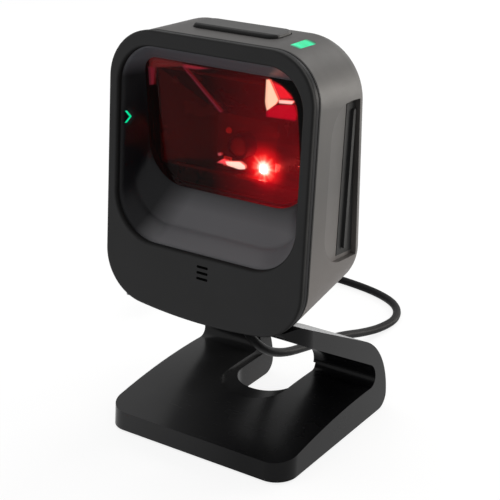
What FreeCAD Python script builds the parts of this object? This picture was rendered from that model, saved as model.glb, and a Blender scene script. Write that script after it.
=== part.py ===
import FreeCAD, Part
import math
import os
import Sketcher

# Upright presentation barcode scanner: an imaging head on a one-piece C-shaped stand.
# Millimetres. The origin is the middle of the footprint, +Z is up and the scanner looks along -Y.
# Head pieces are drawn in the head's own axes: X to the right, Y back from the bezel's front plane
# and Z up the face from the chin. The head is then placed with its resting lean.

Vector = FreeCAD.Vector
Rotation = FreeCAD.Rotation
Placement = FreeCAD.Placement

doc = FreeCAD.newDocument("PresentationScanner")

sizes = {
    # stand, lengths along its depth counted from the base's front edge
    "stand_width": 90.2,
    "stand_depth": 82.8,
    "foot_gap": 0.8,
    "base_front_height": 9.0,
    "base_mid_height": 13.2,
    "base_mid_back": 30.0,
    "base_rear_height": 14.5,
    "base_corner_radius": 9.5,
    "base_front_draft": 0.8,
    "heel_radius": 6.1,
    "bend_outer_radius": 36.0,
    "bend_wall": 10.1,
    "bend_floor_radius": 3.9,
    "bend_inner_radius": 8.5,
    "nose_radius": 3.3,
    "nose_corner_radius": 9.0,
    "slot_width": 28.0,
    "slot_front": 44.6,
    "slot_top": 21.5,
    "slot_corner_radius": 13.6,
    "arm_slot_radius": 9.0,
    "channel_margin": 1.5,
    "channel_front": 34.0,
    "channel_depth": 1.6,
    # ballast, cover and feet
    "ballast_width": 58.0,
    "ballast_length": 24.0,
    "ballast_thickness": 4.5,
    "ballast_front": 15.0,
    "cover_margin": 7.5,
    "cover_thickness": 1.6,
    "foot_radius": 4.0,
    "foot_thickness": 1.8,
    "foot_inset": 8.0,
    "foot_rear_back": 64.0,
    "cover_screw_radius": 1.2,
    "cover_screw_head": 2.2,
    "cover_screw_length": 5.0,
    # hinge
    "hinge_back": 14.6,
    "hinge_height": 60.3,
    "hinge_setback": 9.1,
    "hinge_rise": 2.5,
    "pin_radius": 1.5,
    "pin_length": 78.0,
    "lug_spread": 54.0,
    "lug_width": 6.4,
    "lug_web": 5.6,
    "washer_thickness": 0.5,
    "hinge_clearance": 0.1,
    "bracket_width": 68.0,
    "bracket_front": 5.9,
    "bracket_depth": 8.4,
    "bracket_thickness": 2.0,
    "bracket_screw_radius": 1.1,
    "bracket_screw_head": 2.1,
    "bracket_screw_length": 6.0,
    "bracket_screw_near": 12.0,
    "bracket_screw_far": 19.5,
    "bracket_boss_radius": 3.2,
    "bracket_boss_height": 5.0,
    "plug_length": 2.0,
    # head outline
    "head_width": 94.4,
    "head_height": 113.2,
    "head_lean": 5.1,
    "top_corner_radius": 20.0,
    "chin_corner_radius": 20.6,
    "chin_arch_radius": 230.0,
    "bezel_depth": 2.3,
    "bezel_round": 1.2,
    "seam": 0.5,
    "trim_depth": 1.7,
    "trim_inset": 0.2,
    "flange_inset": 1.5,
    "flange_wall": 1.4,
    "flange_length": 5.0,
    "fit_gap": 0.1,
    # scoop and window
    "scoop_side_rim": 4.6,
    "scoop_top_rim": 6.2,
    "scoop_bottom": 28.2,
    "ramp_hollow": 0.3,
    "scoop_top_radius": 16.0,
    "scoop_bottom_radius": 19.0,
    "hood_wall": 1.5,
    "window_side_step": 4.5,
    "window_top_step": 6.0,
    "window_bottom": 48.8,
    "window_top_depth": 10.5,
    "window_bottom_depth": 17.7,
    "window_top_radius": 6.0,
    "window_bottom_radius": 16.5,
    "window_rim": 1.3,
    "window_thickness": 1.5,
    # rear housing
    "housing_wall": 2.2,
    "housing_reach": 60.0,
    "underside_slope": 16.1,
    "relief_level": 7.2,
    "floor_level": 11.4,
    "rear_plane": 57.6,
    "rear_corner_radius": 29.0,
    "rear_round": 10.0,
    # grips
    "grip_front": 15.0,
    "grip_top": 93.5,
    "grip_bottom": 30.0,
    "grip_depth": 2.4,
    "grip_corner_radius": 13.0,
    "groove_front": 28.6,
    "groove_rear": 48.6,
    "groove_depth": 3.4,
    "groove_margin": 1.5,
    "insert_thickness": 1.2,
    "rib_width": 1.8,
    "rib_height": 1.2,
    # top key, its board and the light beside it
    "key_width": 39.6,
    "key_length": 14.0,
    "key_front": 16.0,
    "key_rise": 1.3,
    "key_corner_radius": 4.0,
    "key_clearance": 0.35,
    "key_skirt": 4.0,
    "key_travel": 1.0,
    "key_wall": 1.6,
    "key_edge_round": 1.0,
    "key_stem_radius": 2.4,
    "key_centre": -0.6,
    "key_board_level": 103.0,
    "key_board_width": 50.0,
    "key_board_length": 17.0,
    "board_thickness": 1.6,
    "switch_width": 6.0,
    "switch_height": 3.4,
    "plunger_radius": 1.6,
    "plunger_height": 1.2,
    "light_length": 14.0,
    "light_width": 4.4,
    "light_front": 11.6,
    "light_gap": 8.6,
    # sounder and its slots
    "bar_length": 5.4,
    "bar_height": 1.1,
    "bar_pitch": 2.4,
    "bar_centre": 1.5,
    "bar_level": 21.6,
    "sounder_radius": 5.0,
    "sounder_length": 3.2,
    "sounder_wall": 1.4,
    # imaging engine behind the window
    "engine_depth": 27.0,
    "engine_centre": 1.7,
    "engine_width": 28.0,
    "engine_bottom": 57.0,
    "engine_top": 80.0,
    "shroud_wall": 1.2,
    "imager_margin": 4.0,
    "lens_level": 69.0,
    "barrel_radius": 5.0,
    "barrel_length": 8.0,
    "lens_radius": 3.6,
    "lens_curve": 9.0,
    "aimer_radius": 1.2,
    "aimer_length": 2.4,
    "aimer_offset": 8.6,
    "aimer_level": 73.3,
    "led_spread": 17.4,
    "led_level": 60.4,
    "led_width": 4.0,
    "led_height": 1.2,
    "dome_radius": 1.7,
    "main_board_depth": 33.2,
    "main_board_width": 72.0,
    "main_board_bottom": 30.0,
    "main_board_top": 83.0,
    "boss_radius": 3.0,
    "boss_inset": 4.0,
    "board_screw_radius": 1.0,
    "link_left": 8.0,
    "link_right": 12.0,
    "link_bottom": 62.0,
    "link_height": 6.0,
    "socket_centre": 2.0,
    "socket_width": 14.0,
    "socket_height": 6.5,
    "socket_depth": 5.5,
    "socket_lift": 1.5,
    "post_spread": 62.0,
    "post_level": 23.6,
    "post_radius": 2.9,
    "post_end": 36.0,
    "case_screw_radius": 1.2,
    "case_screw_head": 2.6,
    "case_screw_seat": 2.0,
    "case_screw_length": 9.0,
    "board_screw_head": 2.0,
    "board_screw_length": 4.5,
    "boss_length": 12.0,
    # arrow light in the scoop's left wall
    "arrow_level": 76.5,
    "arrow_depth": 5.6,
    "arrow_size": 2.4,
    "arrow_stroke": 0.9,
    # lead
    "lead_radius": 2.0,
    "lead_clearance": 0.3,
    "gland_centre": 1.95,
    "gland_front": 14.9,
    "gland_length": 11.3,
    "gland_width": 9.6,
    "gland_wall": 0.7,
    "coil_centre_x": -78.0,
    "coil_centre_y": 118.0,
    "coil_radius": 23.0,
    "coil_columns": 4.0,
    "coil_rows": 3.0,
    "coil_pitch": 4.15,
    "tie_width": 9.0,
    "tie_thickness": 0.8,
    "plug_ahead": 4.0,
    "usb_neck_length": 9.0,
    "usb_neck_root": 3.1,
    "usb_neck_tip": 2.5,
    "usb_body_length": 34.0,
    "usb_body_width": 15.0,
    "usb_body_height": 8.0,
    "usb_shell_length": 18.7,
    "usb_shell_width": 12.0,
    "usb_shell_height": 4.5,
    "usb_shell_wall": 0.4,
}

sheet = doc.addObject("Spreadsheet::Sheet", "Sizes")
for row, (alias, number) in enumerate(sizes.items(), start=1):
    sheet.set(f"A{row}", alias)
    sheet.set(f"B{row}", str(number))
    sheet.setAlias(f"B{row}", alias)
doc.recompute()
v = {alias: float(sheet.get(alias)) for alias in sizes}

half = v["head_width"] / 2
lean = math.radians(v["head_lean"])
front = -v["stand_depth"] / 2
# the head hangs on the hinge, whose axis lies behind and a little above its chin
head_back = v["hinge_back"] - v["hinge_setback"]
headPlacement = Placement(
    Vector(0, front + head_back, v["hinge_height"] - v["hinge_rise"]),
    Rotation(Vector(1, 0, 0), -v["head_lean"]),
)
housing_front = v["bezel_depth"] + 2 * v["seam"] + v["trim_depth"]
scoop_width = v["head_width"] - 2 * v["scoop_side_rim"]
scoop_top = v["head_height"] - v["scoop_top_rim"]
window_width = scoop_width - 2 * v["window_side_step"]
window_top = scoop_top - v["window_top_step"]
light_offset = v["key_centre"] + v["key_width"] / 2 + v["light_gap"] + v["light_width"] / 2

# the hinge axis in the head's axes
axis_back = v["hinge_setback"] * math.cos(lean) - v["hinge_rise"] * math.sin(lean)
axis_up = v["hinge_setback"] * math.sin(lean) + v["hinge_rise"] * math.cos(lean)


# outlines and solids


def line(a, b):
    return Part.LineSegment(a, b)


def arc(a, middle, b):
    return Part.Arc(a, middle, b)


def cornerArc(centre, radius, start, end):
    points = []
    for degrees in (start, (start + end) / 2, end):
        angle = math.radians(degrees)
        points.append(centre + Vector(math.cos(angle), math.sin(angle), 0) * radius)
    return arc(*points)


def rectangle(x0, y0, x1, y1):
    p = [Vector(x0, y0, 0), Vector(x1, y0, 0), Vector(x1, y1, 0), Vector(x0, y1, 0)]
    return [line(p[i], p[(i + 1) % 4]) for i in range(4)]


def rounded(x0, y0, x1, y1, lower, upper):
    # a rectangle whose lower and upper corners have their own radii
    edges = [
        line(Vector(x0 + lower, y0, 0), Vector(x1 - lower, y0, 0)),
        cornerArc(Vector(x1 - lower, y0 + lower, 0), lower, -90, 0),
        line(Vector(x1, y0 + lower, 0), Vector(x1, y1 - upper, 0)),
        cornerArc(Vector(x1 - upper, y1 - upper, 0), upper, 0, 90),
        line(Vector(x1 - upper, y1, 0), Vector(x0 + upper, y1, 0)),
        cornerArc(Vector(x0 + upper, y1 - upper, 0), upper, 90, 180),
        line(Vector(x0, y1 - upper, 0), Vector(x0, y0 + lower, 0)),
        cornerArc(Vector(x0 + lower, y0 + lower, 0), lower, 180, 270),
    ]
    return edges


def arched(half_width, bottom, top, lower, upper, arch):
    # as rounded(), with a bottom edge that bulges down in a large arc
    centre_y = bottom + arch
    corner_x = half_width - lower
    corner_y = centre_y - math.sqrt((arch - lower) ** 2 - corner_x**2)
    swing = math.degrees(math.asin(corner_x / (arch - lower)))
    middle = Vector(0, centre_y, 0)
    return [
        cornerArc(middle, arch, -90 - swing, -90 + swing),
        cornerArc(Vector(corner_x, corner_y, 0), lower, -90 + swing, 0),
        line(Vector(half_width, corner_y, 0), Vector(half_width, top - upper, 0)),
        cornerArc(Vector(half_width - upper, top - upper, 0), upper, 0, 90),
        line(Vector(half_width - upper, top, 0), Vector(upper - half_width, top, 0)),
        cornerArc(Vector(upper - half_width, top - upper, 0), upper, 90, 180),
        line(Vector(-half_width, top - upper, 0), Vector(-half_width, corner_y, 0)),
        cornerArc(Vector(-corner_x, corner_y, 0), lower, 180, 270 - swing),
    ]


def faceOutline(inset):
    # the head seen from the front, moved inwards by inset
    return arched(
        half - inset,
        inset,
        v["head_height"] - inset,
        v["chin_corner_radius"] - inset,
        v["top_corner_radius"] - inset,
        v["chin_arch_radius"],
    )


def scoopOutline(grow):
    return rounded(
        -scoop_width / 2 - grow,
        v["scoop_bottom"] - grow,
        scoop_width / 2 + grow,
        scoop_top + grow,
        v["scoop_bottom_radius"] + grow,
        v["scoop_top_radius"] + grow,
    )


def wireOf(edges):
    return Part.Wire([edge.toShape() for edge in edges])


def upright(edges, back):
    # an outline drawn in x and height, stood up at a distance back from the face
    wire = wireOf(edges)
    wire.Placement = Placement(Vector(0, back, 0), Rotation(Vector(1, 0, 0), 90))
    return wire


def prism(edges, back, length):
    face = Part.Face(upright(edges, back))
    return face.extrude(Vector(0, length, 0))


def sidewise(edges, x0, x1):
    # an outline drawn in depth and height, drawn out from x0 to x1
    wire = wireOf(edges)
    wire.Placement = Placement(Vector(x0, 0, 0), Rotation(Vector(1, 1, 1), 120))
    return Part.Face(wire).extrude(Vector(x1 - x0, 0, 0))


def box(x0, x1, y0, y1, z0, z1):
    return Part.makeBox(x1 - x0, y1 - y0, z1 - z0, Vector(x0, y0, z0))


def rod(radius, start, end):
    return Part.makeCylinder(radius, (end - start).Length, start, end - start)


# objects in the document


def originPlane(body, role):
    return next(f for f in body.Origin.OriginFeatures if f.Role == role)


def newBody(label, placement=Placement()):
    body = doc.addObject("PartDesign::Body", label)
    body.Placement = placement
    return body


def sketchOn(body, role, edges, offset=0.0):
    sketch = body.newObject("Sketcher::SketchObject", "Sketch")
    sketch.AttachmentSupport = (originPlane(body, role), [""])
    sketch.MapMode = "FlatFace"
    sketch.AttachmentOffset = Placement(Vector(0, 0, offset), Rotation())
    sketch.addGeometry(edges, False)
    return sketch


def feature(body, kind, sketch, length, reverse=False, symmetric=False):
    # a Pad or Pocket whose length is an expression of the sheet's cells
    made = body.newObject("PartDesign::" + kind, kind)
    made.Profile = sketch
    made.setExpression("Length", length)
    made.Reversed = reverse
    if symmetric:
        made.SideType = "Symmetric"
    doc.recompute()
    return made


def fillet(body, radius, chosen):
    # rounds the edges of the body's tip that chosen() picks
    base = body.Tip
    names = [f"Edge{i}" for i, e in enumerate(base.Shape.Edges, start=1) if chosen(e)]
    made = body.newObject("PartDesign::Fillet", "Fillet")
    made.Base = (base, names)
    made.setExpression("Radius", radius)
    doc.recompute()
    return made


def solidPiece(label, shape, placement=Placement()):
    piece = doc.addObject("Part::Feature", label)
    piece.Shape = shape
    piece.Placement = placement
    return piece


def cell(alias):
    return "Sizes." + alias


# the stand


def tangentPair(c1, r1, c2, r2, side):
    # touching points of a straight run past circle 1 and circle 2; side is 1 when both lie
    # below the run, and -1 when the second lies above it
    d = c2 - c1
    angle = math.atan2(d.y, d.x) + math.acos((side * r2 - r1) / d.Length)
    m = Vector(math.cos(angle), math.sin(angle), 0)
    return c1 - m * r1, c2 - m * (side * r2)


def standProfile():
    # depth and height of the C: base, heel, bend, arm and the round nose that holds the hinge
    gap, wall = v["foot_gap"], v["bend_wall"]
    outer_r, inner_r = v["bend_outer_radius"], v["bend_inner_radius"]
    heel_r, floor_r, nose_r = v["heel_radius"], v["bend_floor_radius"], v["nose_radius"]
    depth = v["stand_depth"]
    nose = Vector(v["hinge_back"], v["hinge_height"], 0)
    crown = Vector(depth - outer_r, gap + heel_r, 0)
    heel = Vector(depth - heel_r, gap + heel_r, 0)
    low = Vector(depth - wall - floor_r, v["base_rear_height"] + floor_r, 0)
    high = Vector(depth - wall - inner_r, low.y, 0)
    outer_top, nose_top = tangentPair(crown, outer_r, nose, nose_r, 1)
    inner_top, nose_low = tangentPair(high, inner_r, nose, nose_r, -1)
    outer_swing = math.degrees(math.atan2(outer_top.y - crown.y, outer_top.x - crown.x))
    inner_swing = math.degrees(math.atan2(inner_top.y - high.y, inner_top.x - high.x))
    front_top = Vector(v["base_front_draft"], v["base_front_height"], 0)
    mid_top = Vector(v["base_mid_back"], v["base_mid_height"], 0)
    rear_top = Vector(low.x, v["base_rear_height"], 0)
    start = Vector(0, gap, 0)
    return [
        line(start, Vector(heel.x, gap, 0)),
        cornerArc(heel, heel_r, -90, 0),
        cornerArc(crown, outer_r, 0, outer_swing),
        line(outer_top, nose_top),
        arc(nose_top, nose - Vector(nose_r, 0, 0), nose_low),
        line(nose_low, inner_top),
        cornerArc(high, inner_r, inner_swing, 0),
        cornerArc(low, floor_r, 0, -90),
        arc(rear_top, mid_top, front_top),
        line(front_top, start),
    ]


def makeStandShell():
    body = newBody("stand_shell", Placement(Vector(0, front, 0), Rotation()))
    profile = sketchOn(body, "YZ_Plane", standProfile())
    feature(body, "Pad", profile, cell("stand_width"), symmetric=True)
    side = v["stand_width"] / 2

    # the base's front corners in plan
    fillet(body, cell("base_corner_radius"), isFrontCorner)

    # the arm's front corners in plan
    r = v["nose_corner_radius"]
    tip = v["hinge_back"] - v["nose_radius"] - 1
    corners = []
    for sign in (-1, 1):
        outer, inner = Vector(sign * (side + 1), tip, 0), Vector(sign * (side - r), tip, 0)
        low = Vector(sign * (side + 1), tip + 1 + r, 0)
        touch = Vector(sign * side, tip + 1 + r, 0)
        flat = Vector(sign * (side - r), tip + 1, 0)
        middle = Vector(sign * (side - r * (1 - math.sqrt(0.5))), 0, 0)
        middle.y = tip + 1 + r * (1 - math.sqrt(0.5))
        corners += [line(outer, inner), line(inner, flat), arc(flat, middle, touch)]
        corners += [line(touch, low), line(low, outer)]
    sketch = sketchOn(body, "XY_Plane", corners, v["hinge_height"] - 14)
    feature(body, "Pocket", sketch, cell("hinge_height"), reverse=True)

    # the lead's way through: a slot in the base, the bend and up the arm
    w, back = v["slot_width"] / 2, v["stand_depth"] + 5
    sr, ar = v["slot_corner_radius"], v["arm_slot_radius"]
    level = v["base_rear_height"] + 8
    base_slot = sketchOn(body, "XY_Plane", openSlot(w, v["slot_front"], back, sr), -1)
    feature(body, "Pocket", base_slot, f"{cell('base_rear_height')} + 9", reverse=True)
    arm_slot = sketchOn(body, "XY_Plane", openSlot(w, v["slot_top"], back, ar), level)
    feature(body, "Pocket", arm_slot, cell("hinge_height"), reverse=True)
    w += v["channel_margin"]
    floor = v["base_mid_height"] + 0.4 - v["channel_depth"]
    edges = openSlot(w, v["channel_front"], v["stand_depth"] - v["bend_wall"] - 3.9, sr)
    channel = sketchOn(body, "XY_Plane", edges, floor)
    feature(body, "Pocket", channel, cell("channel_depth") + " * 3", reverse=True)

    # room under the base for the weight, its cover and the feet
    gap, edge = v["foot_gap"], v["fit_gap"]
    bw, bf = v["ballast_width"] / 2 + edge, v["ballast_front"] - edge
    br = v["ballast_front"] + v["ballast_length"] + edge
    well = sketchOn(body, "XY_Plane", rounded(-bw, bf, bw, br, 1.5, 1.5), gap)
    feature(body, "Pocket", well, f"{cell('ballast_thickness')} + {cell('cover_thickness')}", True)
    cw, cf, cr = coverEdges(edge)
    lid = sketchOn(body, "XY_Plane", rounded(-cw, cf, cw, cr, 2, 2), gap)
    feature(body, "Pocket", lid, cell("cover_thickness"), True)
    holes = [Part.Circle(p, Vector(0, 0, 1), v["foot_radius"] + 0.15) for p in footPlaces()]
    feet = sketchOn(body, "XY_Plane", holes, gap)
    feature(body, "Pocket", feet, f"{cell('foot_thickness')} - {cell('foot_gap')}", True)
    holes = [Part.Circle(p, Vector(0, 0, 1), v["cover_screw_radius"] + 0.05) for p in screwPlaces()]
    screws = sketchOn(body, "XY_Plane", holes, gap)
    feature(body, "Pocket", screws, f"{cell('cover_screw_length')} + 0.3", True)

    # two notches across the nose for the bracket's lugs, and the pin's bore
    n = v["lug_width"] / 2 + v["washer_thickness"] + v["hinge_clearance"]
    cuts = []
    floor = v["hinge_back"] + v["nose_radius"] + 1.6
    for sign in (-1, 1):
        c = sign * v["lug_spread"] / 2
        cuts += rectangle(c - n, tip - 5, c + n, floor)
    notches = sketchOn(body, "XY_Plane", cuts, v["hinge_height"] - 12)
    feature(body, "Pocket", notches, cell("hinge_height"), reverse=True)
    place = Vector(v["hinge_back"], v["hinge_height"], 0)
    bore = Part.Circle(place, Vector(0, 0, 1), v["pin_radius"] + 0.04)
    sketch = sketchOn(body, "YZ_Plane", [bore], -side - 1)
    feature(body, "Pocket", sketch, f"{cell('stand_width')} / 2 + {cell('pin_length')} / 2 + 1.2", True)
    return body


def openSlot(w, first, last, r):
    return rounded(-w, first, w, last + r, r, r)


def isFrontCorner(edge):
    c = edge.CenterOfMass
    d = edge.Vertexes[-1].Point - edge.Vertexes[0].Point
    return abs(d.x) < 1e-6 and c.y < 2 and c.z < v["base_front_height"]


def coverEdges(grow):
    rear = v["ballast_front"] + v["ballast_length"]
    wide = v["ballast_width"] / 2 + v["cover_margin"]
    return wide + grow, v["ballast_front"] - 1 - grow, rear + 1 + grow


def footPlaces():
    x = v["stand_width"] / 2 - v["foot_inset"]
    return [Vector(sx * x, y, 0) for sx in (-1, 1) for y in (v["foot_inset"], v["foot_rear_back"])]


def screwPlaces():
    x = v["ballast_width"] / 2 + v["cover_margin"] / 2 + 0.3
    rear = v["ballast_front"] + v["ballast_length"]
    return [Vector(sx * x, y, 0) for sx in (-1, 1) for y in (v["ballast_front"] + 3, rear - 3)]


def makeStandTrim():
    place = Placement(Vector(0, front, 0), Rotation())
    gap = v["foot_gap"]
    w, y0 = v["ballast_width"] / 2, v["ballast_front"]
    body = newBody("ballast_plate", place)
    edges = rounded(-w, y0, w, y0 + v["ballast_length"], 1.4, 1.4)
    sketch = sketchOn(body, "XY_Plane", edges, gap + v["cover_thickness"])
    feature(body, "Pad", sketch, cell("ballast_thickness"))

    body = newBody("base_cover", place)
    cw, cf, cr = coverEdges(0)
    sketch = sketchOn(body, "XY_Plane", rounded(-cw, cf, cw, cr, 2, 2), gap)
    feature(body, "Pad", sketch, cell("cover_thickness"))
    holes = [Part.Circle(p, Vector(0, 0, 1), v["cover_screw_head"] + 0.1) for p in screwPlaces()]
    sketch = sketchOn(body, "XY_Plane", holes, gap)
    feature(body, "Pocket", sketch, cell("cover_thickness") + " / 2", True)
    holes = [Part.Circle(p, Vector(0, 0, 1), v["cover_screw_radius"] + 0.05) for p in screwPlaces()]
    sketch = sketchOn(body, "XY_Plane", holes, gap)
    feature(body, "Pocket", sketch, cell("cover_thickness"), True)

    screws = []
    seat = gap + v["cover_thickness"] / 2
    for p in screwPlaces():
        foot = Vector(p.x, p.y, gap)
        head = Part.makeCylinder(v["cover_screw_head"], seat - gap, foot)
        shank = Part.makeCylinder(v["cover_screw_radius"], v["cover_screw_length"], foot)
        recess = Part.makeBox(2.6, 0.6, 0.4, Vector(p.x - 1.3, p.y - 0.3, gap))
        screws.append(head.fuse(shank).cut(recess).removeSplitter())
    solidPiece("cover_screws", Part.makeCompound(screws), place)

    feet = [Part.makeCylinder(v["foot_radius"], v["foot_thickness"], p) for p in footPlaces()]
    feet = [f.makeChamfer(0.4, [e for e in f.Edges if e.CenterOfMass.z < 0.1 and e.Closed]) for f in feet]
    solidPiece("rubber_feet", Part.makeCompound(feet), place)


def makeHinge():
    place = Placement(Vector(0, front, 0), Rotation())
    axis = Vector(0, v["hinge_back"], v["hinge_height"])
    along = Vector(1, 0, 0)
    pin_half = v["pin_length"] / 2
    pin = rod(v["pin_radius"], axis - along * pin_half, axis + along * pin_half)
    solidPiece("hinge_pin", pin.makeChamfer(0.3, [e for e in pin.Edges if e.Closed]), place)

    plug_end = pin_half + v["plug_length"] + 0.3
    plug = rod(v["pin_radius"], axis - along * plug_end, axis - along * (plug_end - v["plug_length"]))
    solidPiece("pin_plug", plug, place)

    washers = []
    for sign in (-1, 1):
        for side in (-1, 1):
            inner = v["lug_width"] / 2 + v["hinge_clearance"]
            a = sign * v["lug_spread"] / 2 + side * inner
            b = a + side * v["washer_thickness"]
            disc = rod(v["nose_radius"] - 0.2, axis + along * a, axis + along * b)
            washers.append(disc.cut(rod(v["pin_radius"] + 0.04, axis + along * a, axis + along * b)))
    solidPiece("friction_washers", Part.makeCompound(washers), place)


# the head


def headOutline(back, edge):
    # the housing's cross-section at a distance behind its front, moved inwards by edge: its top
    # runs level and its belly rises when the head has its resting lean
    rise = math.tan(math.radians(v["underside_slope"])) * back
    top = v["head_height"] + math.tan(lean) * back
    share = back / v["housing_reach"]
    upper = v["top_corner_radius"] + (v["rear_corner_radius"] - v["top_corner_radius"]) * share
    lower, arch = v["chin_corner_radius"], v["chin_arch_radius"]
    edges = arched(half - edge, rise + edge, top - edge, lower - edge, upper - edge, arch)
    return upright(edges, housing_front + back)


def headForm(inset):
    # the rear housing's outside, or its inside when inset by a wall
    edge = v["trim_inset"] + inset
    near = -1 if inset else 0
    form = Part.makeLoft([headOutline(near, edge), headOutline(v["housing_reach"], edge)], True, True)
    far = box(-100, 100, front + v["rear_plane"] - inset, 200, -100, 300)
    far.Placement = headPlacement.inverse()
    form = form.cut(far)
    rim = [e for e in form.Edges if isOnRear(e, front + v["rear_plane"] - inset)]
    if inset:
        form = form.makeChamfer(0.7 * (v["rear_round"] - inset), rim)
    else:
        form = form.makeFillet(v["rear_round"], rim)
    under = v["floor_level"] if inset else v["relief_level"]
    return form.cut(box(-half, half, -10, v["housing_reach"], -30, under))


def isOnRear(edge, plane):
    return all(abs(headPlacement.multVec(p).y - plane) < 0.01 for p in edge.discretize(5))


def ring(outer, inner, back, length):
    return prism(outer, back, length).cut(prism(inner, back - 1, length + 2))


def tiltedOutline(inset):
    # the window's outline in its own leaning plane, inset from the visible edge
    rise = window_top - v["window_bottom"]
    tall = math.hypot(rise, v["window_bottom_depth"] - v["window_top_depth"])
    wide = window_width / 2 - inset
    low, up = v["window_bottom_radius"] - inset, v["window_top_radius"] - inset
    return rounded(-wide, inset, wide, tall - inset, low, max(up, 0.5))


def windowPlacement():
    rise = window_top - v["window_bottom"]
    tip = math.degrees(math.atan2(v["window_bottom_depth"] - v["window_top_depth"], rise))
    stand_up = Rotation(Vector(1, 0, 0), 90)
    turn = Rotation(Vector(1, 0, 0), tip).multiply(stand_up)
    return Placement(Vector(0, v["window_bottom_depth"], v["window_bottom"]), turn)


def tilted(inset, back=0.0):
    # the window's outline stood in its plane, moved back square to the plane
    wire = wireOf(tiltedOutline(inset))
    wire.Placement = windowPlacement().multiply(Placement(Vector(0, 0, -back), Rotation()))
    return wire


def tiltedPrism(inset, start, end):
    wire = tilted(inset, start)
    away = tilted(inset, end).CenterOfMass - wire.CenterOfMass
    return Part.Face(wire).extrude(away)


def scoopForm(grow, start):
    # from the bezel's opening back to the window; the middle outline gives the ramp its hollow
    low = v["scoop_bottom"] + (v["window_bottom"] - v["scoop_bottom"]) * v["ramp_hollow"]
    top = (scoop_top + window_top) / 2
    wide = (scoop_width + window_width) / 4
    low_depth, top_depth = (start + v["window_bottom_depth"]) / 2, (start + v["window_top_depth"]) / 2
    tip = math.degrees(math.atan2(low_depth - top_depth, top - low))
    low_r = (v["scoop_bottom_radius"] + v["window_bottom_radius"]) / 2 + grow
    up_r = (v["scoop_top_radius"] + v["window_top_radius"]) / 2 + grow
    middle = wireOf(rounded(-wide - grow, -grow, wide + grow, top - low + grow, low_r, up_r))
    turn = Rotation(Vector(1, 0, 0), 90 + tip)
    middle.Placement = Placement(Vector(0, low_depth, low), turn)
    first = upright(scoopOutline(grow), start)
    return Part.makeLoft([first, middle, tilted(-grow)], True, True)


def slotBars():
    # the outlines of the sounder's three bars
    w, h, c = v["bar_length"] / 2, v["bar_height"] / 2, v["bar_centre"]
    edges = []
    for i in range(3):
        level = v["bar_level"] + (i - 1) * v["bar_pitch"]
        edges += rounded(c - w, level - h, c + w, level + h, h * 0.9, h * 0.9)
    return edges


def arrowPrism(x0, x1, grow):
    # an arrow head pointing back into the scoop, drawn in depth and height
    s, t = v["arrow_size"] + grow, v["arrow_stroke"] / 2 + grow
    d, level = v["arrow_depth"], v["arrow_level"]
    tip = [Vector(d + s / 2, level, 0), Vector(d - s / 2 + t, level + s, 0)]
    tip += [Vector(d - s / 2 - t, level + s, 0), Vector(d + s / 2 - 2 * t, level, 0)]
    tip += [Vector(d - s / 2 - t, level - s, 0), Vector(d - s / 2 + t, level - s, 0)]
    edges = [line(tip[i], tip[(i + 1) % 6]) for i in range(6)]
    return sidewise(edges, x0, x1)


def makeBezel():
    body = newBody("front_bezel", headPlacement)
    plate = sketchOn(body, "XZ_Plane", faceOutline(0))
    feature(body, "Pad", plate, cell("bezel_depth"), reverse=True)
    inset = v["flange_inset"]
    sleeve = sketchOn(body, "XZ_Plane", faceOutline(inset), -v["bezel_depth"])
    length = " + ".join([cell("seam") + " * 2", cell("trim_depth"), cell("flange_length")])
    feature(body, "Pad", sleeve, length, reverse=True)
    inside = faceOutline(inset + v["flange_wall"])
    core = sketchOn(body, "XZ_Plane", inside, -v["bezel_depth"])
    feature(body, "Pocket", core, length)
    opening = sketchOn(body, "XZ_Plane", scoopOutline(0))
    feature(body, "Pocket", opening, cell("bezel_depth"))
    # the sleeve stops short at the bottom, above the housing's floor
    floor = v["floor_level"] + 2 * v["fit_gap"]
    nose = sketchOn(body, "YZ_Plane", rectangle(housing_front - v["seam"], -5, 20, floor))
    feature(body, "Pocket", nose, cell("head_width"), symmetric=True)
    bars = sketchOn(body, "XZ_Plane", slotBars())
    feature(body, "Pocket", bars, cell("bezel_depth"))
    # two posts that take the case screws
    places = [Vector(sign * v["post_spread"] / 2, v["post_level"], 0) for sign in (-1, 1)]
    discs = [Part.Circle(p, Vector(0, 0, 1), v["post_radius"]) for p in places]
    posts = sketchOn(body, "XZ_Plane", discs, -v["bezel_depth"])
    feature(body, "Pad", posts, f"{cell('post_end')} - {cell('bezel_depth')}", reverse=True)
    discs = [Part.Circle(p, Vector(0, 0, 1), v["case_screw_radius"] + 0.05) for p in places]
    holes = sketchOn(body, "XZ_Plane", discs, -v["post_end"])
    feature(body, "Pocket", holes, cell("post_end") + " / 3", reverse=True)
    fillet(body, cell("bezel_round"), isFrontRim)
    return body


def isFrontRim(edge):
    bounds = edge.BoundBox
    if bounds.YMax > 0.01 or edge.Length < 1:
        return False
    on_bar = abs(edge.CenterOfMass.z - v["bar_level"]) < 5 and abs(edge.CenterOfMass.x) < 6
    return not on_bar


def makeTrim():
    outer = faceOutline(v["trim_inset"])
    inner = faceOutline(v["flange_inset"] - v["fit_gap"])
    band = ring(outer, inner, v["bezel_depth"] + v["seam"], v["trim_depth"])
    solidPiece("trim_ring", band, headPlacement)


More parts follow.
